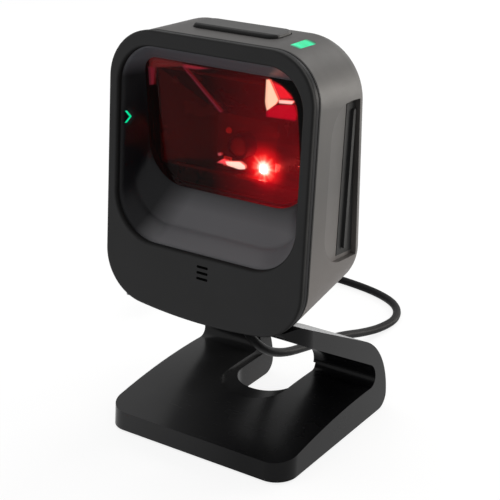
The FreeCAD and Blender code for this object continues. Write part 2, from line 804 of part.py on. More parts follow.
def makeHood():
    start = v["bezel_depth"]
    wall, depth = v["hood_wall"], v["window_thickness"]
    shell = scoopForm(wall, start)
    shell = shell.fuse(tiltedPrism(-wall, 0, depth + wall))
    shell = shell.cut(scoopForm(0, start))
    shell = shell.cut(tiltedPrism(0, 0, depth))
    shell = shell.cut(tiltedPrism(v["window_rim"], depth - 0.1, depth + wall + 1))
    side = -scoop_width / 2
    shell = shell.cut(arrowPrism(side - wall - 2, side + 5, 0.05))
    solidPiece("recess_hood", shell, headPlacement)

    pane = tiltedPrism(v["fit_gap"], 0, depth)
    solidPiece("scan_window", pane, headPlacement)

    wall_form = scoopForm(wall, start).cut(scoopForm(0, start))
    arrow = arrowPrism(side - wall - 2, side + 5, 0).common(wall_form)
    solidPiece("chevron_light", arrow, headPlacement)


def grooveEdges(inset):
    # the grip's groove in depth and height: its front runs with the face, its rear is upright
    low, high = v["grip_bottom"] + v["groove_margin"] + inset, v["grip_top"] - v["groove_margin"] - inset
    near = v["groove_front"] + inset
    reach_back = (v["groove_rear"] - head_back) / math.cos(lean) - inset
    run = math.tan(lean)
    p = [Vector(near, low, 0), Vector(reach_back - run * low, low, 0)]
    p += [Vector(reach_back - run * high, high, 0), Vector(near, high, 0)]
    return [line(p[i], p[(i + 1) % 4]) for i in range(4)]


def gripCuts():
    # a hollow for the fingers that deepens towards the rear, then the groove for the insert
    wide = half - v["trim_inset"]
    deep, near, far = v["grip_depth"], v["grip_front"], v["groove_front"]
    rear = (v["groove_rear"] - head_back) / math.cos(lean)
    low, high = v["grip_bottom"], v["grip_top"]
    reach_back = rear - math.tan(lean) * low
    plan = [Vector(wide + 1, near - 2, 0), Vector(wide + 1, reach_back + 2, 0)]
    plan += [Vector(wide - deep, reach_back + 2, 0), Vector(wide - deep, far, 0), Vector(wide, near, 0)]
    wedge = wireOf([line(plan[i], plan[(i + 1) % 5]) for i in range(5)])
    wedge = Part.Face(wedge).extrude(Vector(0, 0, 150))
    r = v["grip_corner_radius"]
    top_back, low_back = rear - math.tan(lean) * high, reach_back
    side = [
        line(Vector(low_back, low, 0), Vector(top_back, high, 0)),
        line(Vector(top_back, high, 0), Vector(near + r, high, 0)),
        cornerArc(Vector(near + r, high - r, 0), r, 90, 180),
        line(Vector(near, high - r, 0), Vector(near, low + r, 0)),
        cornerArc(Vector(near + r, low + r, 0), r, 180, 270),
        line(Vector(near + r, low, 0), Vector(low_back, low, 0)),
    ]
    hollow = wedge.common(sidewise(side, wide - deep - 1, wide + 2))
    groove = sidewise(grooveEdges(0), wide - v["groove_depth"], wide + 2)
    right = hollow.fuse(groove)
    return right, right.mirror(Vector(0, 0, 0), Vector(1, 0, 0))


def topPrism(centre, width, start, length, radius, low, high):
    # a bar with rounded corners that stands up through the housing's top
    edges = rounded(centre - width / 2, start, centre + width / 2, start + length, radius, radius)
    return Part.Face(wireOf(edges)).extrude(Vector(0, 0, high - low)).translated(Vector(0, 0, low))


def makeHousing():
    shell = headForm(0)
    within = headForm(v["housing_wall"] / 2)
    cavity = headForm(v["housing_wall"])
    far, ceiling = v["housing_reach"], levelTop(v["housing_reach"]) + 1
    # the cavity keeps clear of the grips' grooves
    room = half - v["trim_inset"] - v["groove_depth"] - 1.8
    for sign in (-1, 1):
        x0, x1 = sorted((sign * room, sign * half))
        keep = box(x0, x1, v["grip_front"] - 1, far, v["grip_bottom"] - 2, v["grip_top"] + 2)
        cavity = cavity.cut(keep)
    shell = shell.cut(cavity)
    mouth = faceOutline(v["flange_inset"] - v["fit_gap"])
    mouth = prism(mouth, housing_front - 1, v["flange_length"] + 1 + v["fit_gap"])
    floor = box(-half, half, 0, far, 0, v["floor_level"])
    shell = shell.cut(mouth.cut(floor))
    for cut in gripCuts():
        shell = shell.cut(cut)

    # wells and posts for the two case screws
    for sign in (-1, 1):
        p = Vector(sign * v["post_spread"] / 2, v["post_end"], v["post_level"])
        tube = rod(v["post_radius"] + 1.6, p, p + Vector(0, far / 2, 0)).common(within)
        shell = shell.fuse(tube)
        seat = p + Vector(0, v["case_screw_seat"], 0)
        shell = shell.cut(rod(v["case_screw_radius"] + 0.05, p - Vector(0, 1, 0), p + Vector(0, 3, 0)))
        shell = shell.cut(rod(v["case_screw_head"] + 0.2, seat, seat + Vector(0, far / 2, 0)))

    # bosses for the main board and ledges for the key's board
    rear = v["main_board_depth"] + v["board_thickness"]
    for x, level in bossPlaces():
        p = Vector(x, rear, level)
        boss = rod(v["boss_radius"], p, p + Vector(0, v["boss_length"], 0)).common(within)
        shell = shell.fuse(boss)
        shell = shell.cut(rod(v["board_screw_radius"] + 0.05, p - Vector(0, 1, 0), p + Vector(0, 4, 0)))
    level, edge = v["key_board_level"], v["key_board_width"] / 2
    near, last = v["key_front"] + 1, v["key_front"] + v["key_board_length"] + 3
    for x in (v["key_centre"] - edge, v["key_centre"] + edge):
        rib = box(x - 1.5, x + 1.5, near, last, level, ceiling)
        shell = shell.fuse(rib.common(within))

    # the hinge bracket lies in a shallow bed with bosses above it for its screws
    bw, b0 = v["bracket_width"] / 2 + v["fit_gap"], v["bracket_front"] - v["fit_gap"]
    b1 = v["bracket_front"] + v["bracket_depth"] + v["fit_gap"]
    under, bed = v["relief_level"], v["relief_level"] + v["bracket_thickness"]
    for x, d in bracketScrews():
        p = Vector(x, d, v["floor_level"] - 0.5)
        shell = shell.fuse(rod(v["bracket_boss_radius"], p, p + Vector(0, 0, v["bracket_boss_height"])))
    shell = shell.cut(box(-bw, bw, b0, b1, under - 5, bed))
    for x, d in bracketScrews():
        p, end = Vector(x, d, under), v["bracket_thickness"] / 2 + v["bracket_screw_length"] + 1.3
        shell = shell.cut(rod(v["bracket_screw_radius"] + 0.05, p, p + Vector(0, 0, end)))

    # openings for the lead's gland, the key and the light beside it
    g0, g1 = v["gland_front"], v["gland_front"] + v["gland_length"]
    gw = v["gland_width"] / 2
    above = v["floor_level"] + 2
    shell = shell.cut(box(v["gland_centre"] - gw, v["gland_centre"] + gw, g0, g1, 0, above))
    shell = shell.cut(keyPrism(v["key_clearance"], level, ceiling))
    shell = shell.cut(lightPrism(0.05, level, ceiling))
    solidPiece("rear_housing", shell.removeSplitter(), headPlacement)

    lit = lightPrism(0, level, ceiling).common(headForm(0)).cut(headForm(v["housing_wall"]))
    solidPiece("status_light", lit, headPlacement)


def bossPlaces():
    x = v["main_board_width"] / 2 - v["boss_inset"]
    low, high = v["main_board_bottom"] + v["boss_inset"], v["main_board_top"] - v["boss_inset"]
    return [(sign * x, level) for sign in (-1, 1) for level in (low, high)]


def bracketScrews():
    d = v["bracket_front"] + v["bracket_depth"] / 2
    return [(sign * x, d) for sign in (-1, 1) for x in (v["bracket_screw_near"], v["bracket_screw_far"])]


def keyPrism(grow, low, high):
    width, length = v["key_width"] + 2 * grow, v["key_length"] + 2 * grow
    radius = v["key_corner_radius"] + grow
    return topPrism(v["key_centre"], width, v["key_front"] - grow, length, radius, low, high)


def lightPrism(grow, low, high):
    width, length = v["light_width"] + 2 * grow, v["light_length"] + 2 * grow
    radius = v["light_width"] / 2 - 0.05 + grow
    return topPrism(light_offset, width, v["light_front"] - grow, length, radius, low, high)


def makeGrips():
    wide = half - v["trim_inset"]
    base = wide - v["groove_depth"]
    pad = sidewise(grooveEdges(v["fit_gap"]), base, base + v["insert_thickness"])
    d = (v["groove_front"] + (v["groove_rear"] - head_back) - math.tan(lean) * 62) / 2
    w, low, high = v["rib_width"] / 2, v["grip_bottom"] + 4, v["grip_top"] - 4
    edges = rounded(d - w, low, d + w, high, w * 0.9, w * 0.9)
    rib = sidewise(edges, base, base + v["insert_thickness"] + v["rib_height"])
    right = pad.fuse(rib).removeSplitter()
    solidPiece("grip_insert_right", right, headPlacement)
    solidPiece("grip_insert_left", right.mirror(Vector(0, 0, 0), Vector(1, 0, 0)), headPlacement)


def boardBody(label, edges, depth, thickness="board_thickness"):
    # a flat piece parallel to the face, drawn in x and height
    body = newBody(label, headPlacement)
    sketch = sketchOn(body, "XZ_Plane", edges, -depth)
    feature(body, "Pad", sketch, cell(thickness), reverse=True)
    return body


def drill(body, places, radius, depth, length):
    discs = [Part.Circle(Vector(x, z, 0), Vector(0, 0, 1), radius) for x, z in places]
    sketch = sketchOn(body, "XZ_Plane", discs, -depth + 0.5)
    feature(body, "Pocket", sketch, length)


def makeEngine():
    # a funnel of four flat walls narrows from the window to the imager's plate
    depth, wall = v["engine_depth"], v["shroud_wall"]
    cx, w = v["engine_centre"], v["engine_width"] / 2
    low, high = v["engine_bottom"], v["engine_top"]
    back = v["window_thickness"] + v["hood_wall"]
    margin = v["window_rim"] + 2.4

    def mouth(inset):
        rise = window_top - v["window_bottom"]
        tall = math.hypot(rise, v["window_bottom_depth"] - v["window_top_depth"])
        wide = window_width / 2 - margin - inset
        wire = wireOf(rectangle(-wide, margin + 4 + inset, wide, tall - margin - inset))
        wire.Placement = windowPlacement().multiply(Placement(Vector(0, 0, -back), Rotation()))
        return wire

    def throat(inset):
        return upright(rectangle(cx - w + inset, low + inset, cx + w - inset, high - inset), depth)

    outer = Part.makeLoft([mouth(0), throat(-wall)], True, True)
    inner = Part.makeLoft([mouth(wall), throat(0)], True, True)
    plate = prism(rectangle(cx - w - wall, low - wall, cx + w + wall, high + wall), depth, wall)
    shroud = outer.cut(inner).fuse(plate)
    eye = Vector(cx, depth - 1, v["lens_level"])
    shroud = shroud.cut(rod(v["barrel_radius"] + 0.1, eye, eye + Vector(0, wall + 2, 0)))
    for x, z in ledPlaces():
        a = x - v["led_width"] / 2 - 0.1
        b = z - v["led_width"] / 2 - 0.1
        side = v["led_width"] + 0.2
        shroud = shroud.cut(Part.makeBox(side, wall + 2, side, Vector(a, depth - 1, b)))
    spot = Vector(cx - v["aimer_offset"], depth - 1, v["aimer_level"])
    shroud = shroud.cut(rod(v["aimer_radius"] + v["fit_gap"], spot, spot + Vector(0, wall + 2, 0)))
    solidPiece("light_shroud", shroud, headPlacement)

    face = depth + wall
    edge = v["imager_margin"]
    edges = rounded(cx - w - edge, low - edge, cx + w + edge, high + edge, 1.5, 1.5)
    boardBody("imager_board", edges, face)

    bore = eye + Vector(0, wall - v["barrel_length"], 0)
    barrel = rod(v["barrel_radius"], bore + Vector(0, 1, 0), eye + Vector(0, 1 + wall, 0))
    barrel = barrel.cut(rod(v["lens_radius"] + 0.5, bore, bore + Vector(0, 2.2, 0)))
    barrel = barrel.cut(rod(v["lens_radius"], bore, bore + Vector(0, 5, 0)))
    solidPiece("camera_barrel", barrel, headPlacement)
    glass = Part.makeSphere(v["lens_curve"], bore + Vector(0, 1 + v["lens_curve"], 0))
    seat = bore + Vector(0, 1, 0)
    lens = glass.common(rod(v["lens_radius"] - 0.05, seat, seat + Vector(0, 4, 0)))
    solidPiece("camera_lens", lens, headPlacement)

    chips, domes = [], []
    for x, z in ledPlaces():
        side = v["led_width"]
        corner = Vector(x - side / 2, face - v["led_height"], z - side / 2)
        chips.append(Part.makeBox(side, v["led_height"], side, corner))
        centre = Vector(x, face - v["led_height"], z)
        ball = Part.makeSphere(v["dome_radius"], centre)
        domes.append(ball.common(box(x - 3, x + 3, centre.y - 3, centre.y, z - 3, z + 3)))
    solidPiece("illumination_leds", Part.makeCompound(chips), headPlacement)
    solidPiece("led_lenses", Part.makeCompound(domes), headPlacement)

    seat = spot + Vector(0, 1 + wall, 0)
    tip = seat - Vector(0, v["aimer_length"], 0)
    aimer = rod(v["aimer_radius"], tip, seat)
    rim = [e for e in aimer.Edges if e.Closed and abs(e.CenterOfMass.y - tip.y) < 0.1]
    aimer = aimer.makeFillet(v["aimer_radius"] / 1.5, rim)
    solidPiece("aimer_led", aimer, headPlacement)


def ledPlaces():
    c, s, z = v["engine_centre"], v["led_spread"] / 2, v["led_level"]
    return [(c - s, z), (c + s, z)]


def makeElectronics():
    w, low, high = v["main_board_width"] / 2, v["main_board_bottom"], v["main_board_top"]
    depth = v["main_board_depth"]
    body = boardBody("main_board", rounded(-w, low, w, high, 2, 2), depth)
    drill(body, bossPlaces(), v["board_screw_radius"] + 0.05, depth, "5")
    # the connector between the two boards, and the lead's socket below it
    gap_front = v["engine_depth"] + v["shroud_wall"] + v["board_thickness"]
    link_top = v["link_bottom"] + v["link_height"]
    link = box(-v["link_left"], v["link_right"], gap_front, depth, v["link_bottom"], link_top)
    solidPiece("board_connector", link, headPlacement)
    middle, side = v["socket_centre"], v["socket_width"] / 2
    foot, mouth = low + v["socket_lift"], depth - v["socket_depth"]
    socket = box(middle - side, middle + side, mouth, depth, foot, foot + v["socket_height"])
    for x in range(-5, 6, 2):
        centre = middle + x
        socket = socket.fuse(box(centre - 0.3, centre + 0.3, mouth - 1.5, mouth, foot + 2.5, foot + 3.5))
    solidPiece("lead_socket", socket.removeSplitter(), headPlacement)

    screws = []
    for x, z in bossPlaces():
        p = Vector(x, depth, z)
        head = rod(v["board_screw_head"], p - Vector(0, 1.4, 0), p)
        head = head.cut(box(x - 1.3, x + 1.3, depth - 1.4, depth - 0.9, z - 0.3, z + 0.3))
        shank = rod(v["board_screw_radius"], p, p + Vector(0, v["board_screw_length"], 0))
        screws.append(head.fuse(shank).removeSplitter())
    solidPiece("board_screws", Part.makeCompound(screws), headPlacement)

    screws = []
    for sign in (-1, 1):
        p = Vector(sign * v["post_spread"] / 2, v["post_end"] + v["case_screw_seat"], v["post_level"])
        head = rod(v["case_screw_head"], p, p + Vector(0, 2, 0))
        x, z, d = p.x, p.z, p.y + 2
        head = head.cut(box(x - 1.6, x + 1.6, d - 0.8, d, z - 0.35, z + 0.35))
        head = head.cut(box(x - 0.35, x + 0.35, d - 0.8, d, z - 1.6, z + 1.6))
        shank = rod(v["case_screw_radius"], p - Vector(0, v["case_screw_length"], 0), p)
        screws.append(head.fuse(shank).removeSplitter())
    solidPiece("housing_screws", Part.makeCompound(screws), headPlacement)

    p = Vector(v["bar_centre"], v["bezel_depth"], v["bar_level"])
    can = rod(v["sounder_radius"], p, p + Vector(0, v["sounder_length"], 0))
    bore = v["sounder_radius"] - v["sounder_wall"]
    can = can.cut(rod(bore, p - Vector(0, 1, 0), p + Vector(0, v["sounder_length"] / 4, 0)))
    solidPiece("sounder", can, headPlacement)


def makeHingeBracket():
    under, t = v["relief_level"], v["bracket_thickness"]
    bw, b0 = v["bracket_width"] / 2, v["bracket_front"]
    body = newBody("hinge_bracket", headPlacement)
    sketch = sketchOn(body, "XY_Plane", rounded(-bw, b0, bw, b0 + v["bracket_depth"], 1.2, 1.2), under)
    feature(body, "Pad", sketch, cell("bracket_thickness"))
    r, w = v["nose_radius"] - 0.1, v["lug_web"] / 2
    joint = math.sqrt(r * r - w * w)
    centre = Vector(axis_back, axis_up, 0)
    for sign in (-1, 1):
        edges = [
            line(centre + Vector(w, joint, 0), Vector(axis_back + w, under + t / 2, 0)),
            line(Vector(axis_back + w, under + t / 2, 0), Vector(axis_back - w, under + t / 2, 0)),
            line(Vector(axis_back - w, under + t / 2, 0), centre + Vector(-w, joint, 0)),
            arc(centre + Vector(-w, joint, 0), centre - Vector(0, r, 0), centre + Vector(w, joint, 0)),
        ]
        start = sign * v["lug_spread"] / 2 - v["lug_width"] / 2
        lug = sketchOn(body, "YZ_Plane", edges, start)
        feature(body, "Pad", lug, cell("lug_width"))
    bore = Part.Circle(centre, Vector(0, 0, 1), v["pin_radius"] + 0.04)
    sketch = sketchOn(body, "YZ_Plane", [bore])
    feature(body, "Pocket", sketch, cell("pin_length"), symmetric=True)
    discs = [Part.Circle(Vector(x, d, 0), Vector(0, 0, 1), v["bracket_screw_head"] + 0.1)
             for x, d in bracketScrews()]
    sketch = sketchOn(body, "XY_Plane", discs, under)
    feature(body, "Pocket", sketch, cell("bracket_thickness") + " / 2", reverse=True)
    discs = [Part.Circle(Vector(x, d, 0), Vector(0, 0, 1), v["bracket_screw_radius"] + 0.05)
             for x, d in bracketScrews()]
    sketch = sketchOn(body, "XY_Plane", discs, under)
    feature(body, "Pocket", sketch, cell("bracket_thickness"), reverse=True)

    screws = []
    for x, d in bracketScrews():
        p = Vector(x, d, under + t / 2)
        thick = 0.45 * t
        head = Part.makeCylinder(v["bracket_screw_head"], thick, p - Vector(0, 0, thick))
        head = head.cut(Part.makeBox(2.4, 0.6, 0.4, p - Vector(1.2, 0.3, thick)))
        shank = Part.makeCylinder(v["bracket_screw_radius"], v["bracket_screw_length"], p)
        screws.append(head.fuse(shank).removeSplitter())
    solidPiece("bracket_screws", Part.makeCompound(screws), headPlacement)


def levelTop(depth):
    # height of the housing's level top at a depth
    return v["head_height"] - v["trim_inset"] + math.tan(lean) * (depth - housing_front)


def belowLevel(rise):
    # all that lies under a plane that runs above the housing's top by rise
    far = v["housing_reach"]
    corners = [Vector(0, 0, 0), Vector(far, 0, 0), Vector(far, levelTop(far) + rise, 0)]
    corners.append(Vector(0, levelTop(0) + rise, 0))
    return sidewise([line(corners[i], corners[(i + 1) % 4]) for i in range(4)], -half, half)


def makeKey():
    # the key: a hollow cap with a stem in the middle that rests on the switch
    case_top = v["head_height"] - v["trim_inset"]
    low = case_top - v["key_skirt"]
    top = levelTop(v["key_front"]) + v["key_rise"]
    cap = keyPrism(0, low, top + 10).common(belowLevel(v["key_rise"]))
    crown = [e for e in cap.Edges if e.CenterOfMass.z > top - 0.2]
    cap = cap.makeFillet(v["key_edge_round"], crown)
    cap = cap.cut(keyPrism(-v["key_wall"], low - 1, top - v["key_wall"]))
    cx, cy = v["key_centre"], v["key_front"] + v["key_length"] / 2
    stem_low = v["key_board_level"] + v["switch_height"] + v["plunger_height"]
    stem = rod(v["key_stem_radius"], Vector(cx, cy, stem_low), Vector(cx, cy, top - 1))
    solidPiece("top_button", cap.fuse(stem).removeSplitter(), headPlacement)

    # its board hangs on two ribs and carries the switch
    level, t = v["key_board_level"], v["board_thickness"]
    w, front_edge = v["key_board_width"] / 2, v["key_front"] - 0.5
    body = newBody("key_board", headPlacement)
    edges = rounded(cx - w, front_edge, cx + w, front_edge + v["key_board_length"], 1, 1)
    sketch = sketchOn(body, "XY_Plane", edges, level - t)
    feature(body, "Pad", sketch, cell("board_thickness"))

    s, base = v["switch_width"] / 2, level + v["switch_height"]
    can = box(cx - s, cx + s, cy - s, cy + s, level, base)
    well = rod(v["plunger_radius"] + 0.06, Vector(cx, cy, level + 0.6), Vector(cx, cy, base + 1))
    solidPiece("button_switch", can.cut(well), headPlacement)
    low_end = level + 0.6 + v["key_travel"] + 0.2
    plunger = rod(v["plunger_radius"], Vector(cx, cy, low_end), Vector(cx, cy, stem_low))
    solidPiece("switch_plunger", plunger, headPlacement)


# the lead


# places the lead passes, from inside the head down through the stand to the coil behind it
leadRoute = [
    (1.8, -15.2, 65.2), (2.0, -13.4, 57.4), (2.5, -7.4, 48.0), (3.0, -2.0, 38.8), (3.1, 6.6, 30.4),
    (2.5, 16.4, 24.2), (2.0, 28.0, 19.4), (2.2, 41.0, 16.4), (3.0, 55.0, 13.8), (3.4, 68.0, 11.2),
    (4.0, 79.0, 8.3), (5.2, 91.0, 4.8), (7.4, 105.0, 2.3), (8.6, 119.6, 2.0), (1.0, 133.6, 2.0),
    (-13.5, 141.6, 2.0), (-33.0, 145.6, 2.0), (-56.0, 147.2, 2.0), (-78.0, 147.2, 2.0),
]


def bentWire(points):
    # straight runs joined by arcs tangent to both
    edges, start, radii = [], points[0], []
    for i in range(1, len(points) - 1):
        before, here, after = points[i - 1], points[i], points[i + 1]
        a, b = before - here, after - here
        half_turn = (math.pi - a.getAngle(b)) / 2
        cut = 0.45 * min(a.Length, b.Length)
        radius = cut / math.tan(half_turn)
        radii.append(round(radius, 1))
        a.normalize()
        b.normalize()
        p, q = here + a * cut, here + b * cut
        centre = here + (a + b).normalize() * (radius / math.cos(half_turn))
        middle = centre + (here - centre).normalize() * radius
        edges += [Part.LineSegment(start, p).toShape(), Part.Arc(p, middle, q).toShape()]
        start = q
    edges.append(Part.LineSegment(start, points[-1]).toShape())
    return Part.Wire(edges), radii


def makeLead():
    points = [Vector(*p) for p in leadRoute]
    wire, radii = bentWire(points)
    r = v["lead_radius"]
    section = Part.Wire(Part.makeCircle(r, points[0], points[1] - points[0]))
    tube = wire.makePipeShell([section], True, False)
    print("lead radii", radii)
    print("lead length", round(wire.Length, 1), "volume against section x length",
          round(tube.Volume / (math.pi * r * r * wire.Length), 4))
    solidPiece("lead", tube)

    # the put-away length: one ring of neat turns, then its tie and the plug lying on it
    centre = Vector(v["coil_centre_x"], v["coil_centre_y"], 0)
    wide = (v["coil_columns"] - 1) * v["coil_pitch"] + 2 * r
    tall = (v["coil_rows"] - 1) * v["coil_pitch"] + 2 * r
    inner, outer = v["coil_radius"] - wide / 2, v["coil_radius"] + wide / 2
    bundle = Part.makeCylinder(outer, tall, centre).cut(Part.makeCylinder(inner, tall, centre))
    solidPiece("lead_coil", bundle)

    t, w = v["tie_thickness"], v["tie_width"]
    at = centre - Vector(0, v["coil_radius"], 0)
    loop = box(at.x - w / 2, at.x + w / 2, at.y - wide / 2 - t, at.y + wide / 2 + t, 0, tall + t)
    loop = loop.makeFillet(1.8, [e for e in loop.Edges if isAlongX(e)])
    hole = box(at.x - w, at.x + w, at.y - wide / 2, at.y + wide / 2, t, tall)
    hole = hole.makeFillet(1.2, [e for e in hole.Edges if isAlongX(e)])
    solidPiece("coil_tie", loop.cut(hole))

    # the plug lies across the coil, its body on the turns and its neck to the rear
    length, bw, bh = v["usb_body_length"], v["usb_body_width"], v["usb_body_height"]
    px, py = centre.x - v["coil_radius"], centre.y + v["plug_ahead"]
    body = box(px - bw / 2, px + bw / 2, py - length, py, tall, tall + bh)
    middle = tall + bh / 2
    body = body.makeFillet(2.0, [e for e in body.Edges if abs(e.CenterOfMass.z - middle) < bh / 3])
    end, away, long = Vector(px, py, middle), Vector(0, 1, 0), v["usb_neck_length"]
    neck = Part.makeCone(v["usb_neck_root"], v["usb_neck_tip"], long, end, away)
    bore = Part.makeCylinder(r + 0.05, long, end, away)
    body = body.fuse(neck).cut(bore)
    solidPiece("plug_body", body.removeSplitter())
    x0, x1 = px - v["usb_shell_width"] / 2, px + v["usb_shell_width"] / 2
    z0, z1 = middle - v["usb_shell_height"] / 2, middle + v["usb_shell_height"] / 2
    y1, skin = py - length, v["usb_shell_wall"]
    y0 = y1 - v["usb_shell_length"]
    shell = box(x0, x1, y0, y1, z0, z1)
    shell = shell.cut(box(x0 + skin, x1 - skin, y0 - 1, y1 - 4, z0 + skin, z1 - skin))
    tongue = box(x0 + skin, x1 - skin, y0 + 0.6, y1 - 3, middle + 0.1, z1 - skin)
    shell = shell.fuse(tongue)
    for sign in (-1, 1):
        x = px + sign * 2.3
        shell = shell.cut(box(x - 1.2, x + 1.2, y1 - 9.4, y1 - 7, z0 - 1, middle))
    solidPiece("plug_shell", shell.removeSplitter())


def isAlongX(edge):
    d = edge.Vertexes[-1].Point - edge.Vertexes[0].Point
    return abs(d.y) < 1e-6 and abs(d.z) < 1e-6 and abs(d.x) > 1


def makeGland():
    # a soft frame in the head's underside; its long hole lets the head tilt past the lead
    under, wall = v["relief_level"], v["gland_wall"]
    c, w = v["gland_centre"], v["gland_width"] / 2 - v["fit_gap"]
    g0, g1 = v["gland_front"] + v["fit_gap"], v["gland_front"] + v["gland_length"] - v["fit_gap"]
    frame = box(c - w, c + w, g0, g1, under - 0.4, v["floor_level"])
    lip = box(c - w - 1, c + w + 1, g0, g1 + 1, v["floor_level"], v["floor_level"] + 1)
    frame = frame.fuse(lip)
    slot = v["lead_radius"] + v["lead_clearance"]
    edges = rounded(c - slot, g0 + wall, c + slot, g1 - wall, slot * 0.95, slot * 0.95)
    hole = Part.Face(wireOf(edges)).extrude(Vector(0, 0, 20))
    solidPiece("lead_gland", frame.cut(hole).removeSplitter(), headPlacement)


def makeHead():
    makeBezel()
    makeTrim()
    makeHood()
    makeHousing()
    makeGrips()
    makeEngine()
    makeElectronics()
    makeHingeBracket()
    makeKey()
    makeGland()


def isPiece(thing):
    # sub-parts are the bodies and the free solids, not the features inside a body
    if thing.TypeId == "PartDesign::Body":
        return True
    return thing.TypeId == "Part::Feature" and thing.getParentGeoFeatureGroup() is None


def finish():
    doc.recompute()
    os.makedirs("parts", exist_ok=True)
    for thing in doc.Objects:
        if "Invalid" in thing.State or "Error" in thing.State:
            raise RuntimeError(f"{thing.Label} did not build")
    for piece in filter(isPiece, doc.Objects):
        shape = piece.Shape
        if shape.isNull() or not shape.isValid():
            raise RuntimeError(f"{piece.Label} has no valid shape")
        print(piece.Label, "solids", len(shape.Solids), "mm3", round(shape.Volume))
        shape.exportStep(f"parts/{piece.Label}.step")


makeStandShell()
makeStandTrim()
makeHinge()
makeHead()
makeLead()
finish()
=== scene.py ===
import bpy
import math
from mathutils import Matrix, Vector


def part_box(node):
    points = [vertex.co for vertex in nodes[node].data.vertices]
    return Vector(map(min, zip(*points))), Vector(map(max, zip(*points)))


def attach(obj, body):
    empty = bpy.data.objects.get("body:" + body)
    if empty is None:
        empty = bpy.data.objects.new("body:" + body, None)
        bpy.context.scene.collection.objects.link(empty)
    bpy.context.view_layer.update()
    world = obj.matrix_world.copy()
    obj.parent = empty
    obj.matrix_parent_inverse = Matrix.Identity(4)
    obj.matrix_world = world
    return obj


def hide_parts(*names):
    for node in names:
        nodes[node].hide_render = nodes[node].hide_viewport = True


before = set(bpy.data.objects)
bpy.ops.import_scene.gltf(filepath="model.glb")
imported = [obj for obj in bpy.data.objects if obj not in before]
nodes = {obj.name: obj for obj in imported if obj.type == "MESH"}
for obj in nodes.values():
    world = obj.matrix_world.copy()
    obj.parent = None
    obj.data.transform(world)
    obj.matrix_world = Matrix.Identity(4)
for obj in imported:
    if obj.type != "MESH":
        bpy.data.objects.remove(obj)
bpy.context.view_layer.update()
print("frame loaded:", len(nodes), "nodes")


class Sock:
    # a value that varies over a surface; sums, products and powers of it add Math nodes
    def __init__(self, graph, socket):
        self.graph, self.socket = graph, socket

    def __add__(self, other):
        return self.graph.math("ADD", self, other)

    def __radd__(self, other):
        return self.graph.math("ADD", other, self)

    def __sub__(self, other):
        return self.graph.math("SUBTRACT", self, other)

    def __rsub__(self, other):
        return self.graph.math("SUBTRACT", other, self)

    def __mul__(self, other):
        return self.graph.math("MULTIPLY", self, other)

    def __rmul__(self, other):
        return self.graph.math("MULTIPLY", other, self)

    def __pow__(self, other):
        return self.graph.math("POWER", self, other)

    def over(self, level):
        return self.graph.math("GREATER_THAN", self, level)

    def clamp(self):
        return self.graph.node("ShaderNodeClamp", {}, {"Value": self})


class Graph:
    # a node tree, emptied first, and the one way that nodes are added to it
    def __init__(self, tree):
        self.tree = tree
        tree.nodes.clear()

    def put(self, socket, value):
        if isinstance(value, Sock):
            self.tree.links.new(value.socket, socket)
        elif isinstance(value, tuple) and len(value) == 3 and len(socket.default_value) == 4:
            socket.default_value = (*value, 1.0)  # a colour, opaque
        else:
            socket.default_value = value

    def add(self, kind, settings, sockets):
        made = self.tree.nodes.new(kind)
        for key, value in settings.items():
            setattr(made, key, value)
        for key, value in sockets.items():
            self.put(made.inputs[key], value)
        return made

    def node(self, kind, settings, sockets, output=0):
        return Sock(self, self.add(kind, settings, sockets).outputs[output])

    def math(self, operation, first, second=0.0):
        return self.node("ShaderNodeMath", {"operation": operation}, {0: first, 1: second})


def spaced(values):
    # Base_Color is the socket Base Color
    return {key.replace("_", " "): value for key, value in values.items()}


class Shader(Graph):
    # one material on a Principled surface; fixed values go straight on the surface's sockets
    def __init__(self, name, **fixed):
        self.material = bpy.data.materials.new(name)
        self.material.use_nodes = True
        super().__init__(self.material.node_tree)
        self.surface = self.add("ShaderNodeBsdfPrincipled", {}, spaced(fixed))
        self.skin = Sock(self, self.surface.outputs[0])
        self.output = self.add("ShaderNodeOutputMaterial", {}, {"Surface": self.skin})

    def place(self):
        return self.node("ShaderNodeTexCoord", {}, {}, "Object")

    def axis(self, name):
        return self.node("ShaderNodeSeparateXYZ", {}, {"Vector": self.place()}, name)

    def vector(self, operation, other, output):
        sockets = {0: self.place(), 1: other}
        return self.node("ShaderNodeVectorMath", {"operation": operation}, sockets, output)

    def scaled(self, x, y, z):
        return self.vector("MULTIPLY", (x, y, z), "Vector")

    def noise(self, scale, detail=2.0, rough=0.5, vector=None):
        sockets = {"Vector": vector or self.place(), "Scale": scale, "Detail": detail, "Roughness": rough}
        return self.node("ShaderNodeTexNoise", {}, sockets, "Fac")

    def cells(self, scale):
        return self.node("ShaderNodeTexVoronoi", {}, {"Vector": self.place(), "Scale": scale}, "Distance")

    def blend(self, amount, first, second):
        # a Mix node's colour sockets are its seventh and eighth, and its colour comes out third
        return self.node("ShaderNodeMix", {"data_type": "RGBA"}, {0: amount, 6: first, 7: second}, 2)

    def range(self, value, low, high, atLow=0.0, atHigh=1.0):
        sockets = {"Value": value, "From Min": low, "From Max": high, "To Min": atLow, "To Max": atHigh}
        return self.node("ShaderNodeMapRange", {}, sockets)

    def bump(self, height, strength, distance, normal=None):
        sockets = {"Height": height, "Strength": strength, "Distance": distance}
        if normal is not None:
            sockets["Normal"] = normal
        return self.node("ShaderNodeBump", {}, sockets, "Normal")

    def set(self, **varying):
        for key, value in spaced(varying).items():
            self.put(self.surface.inputs[key], value)
        return self.material


def dimmed(colour, share):
    return tuple(c * share for c in colour)


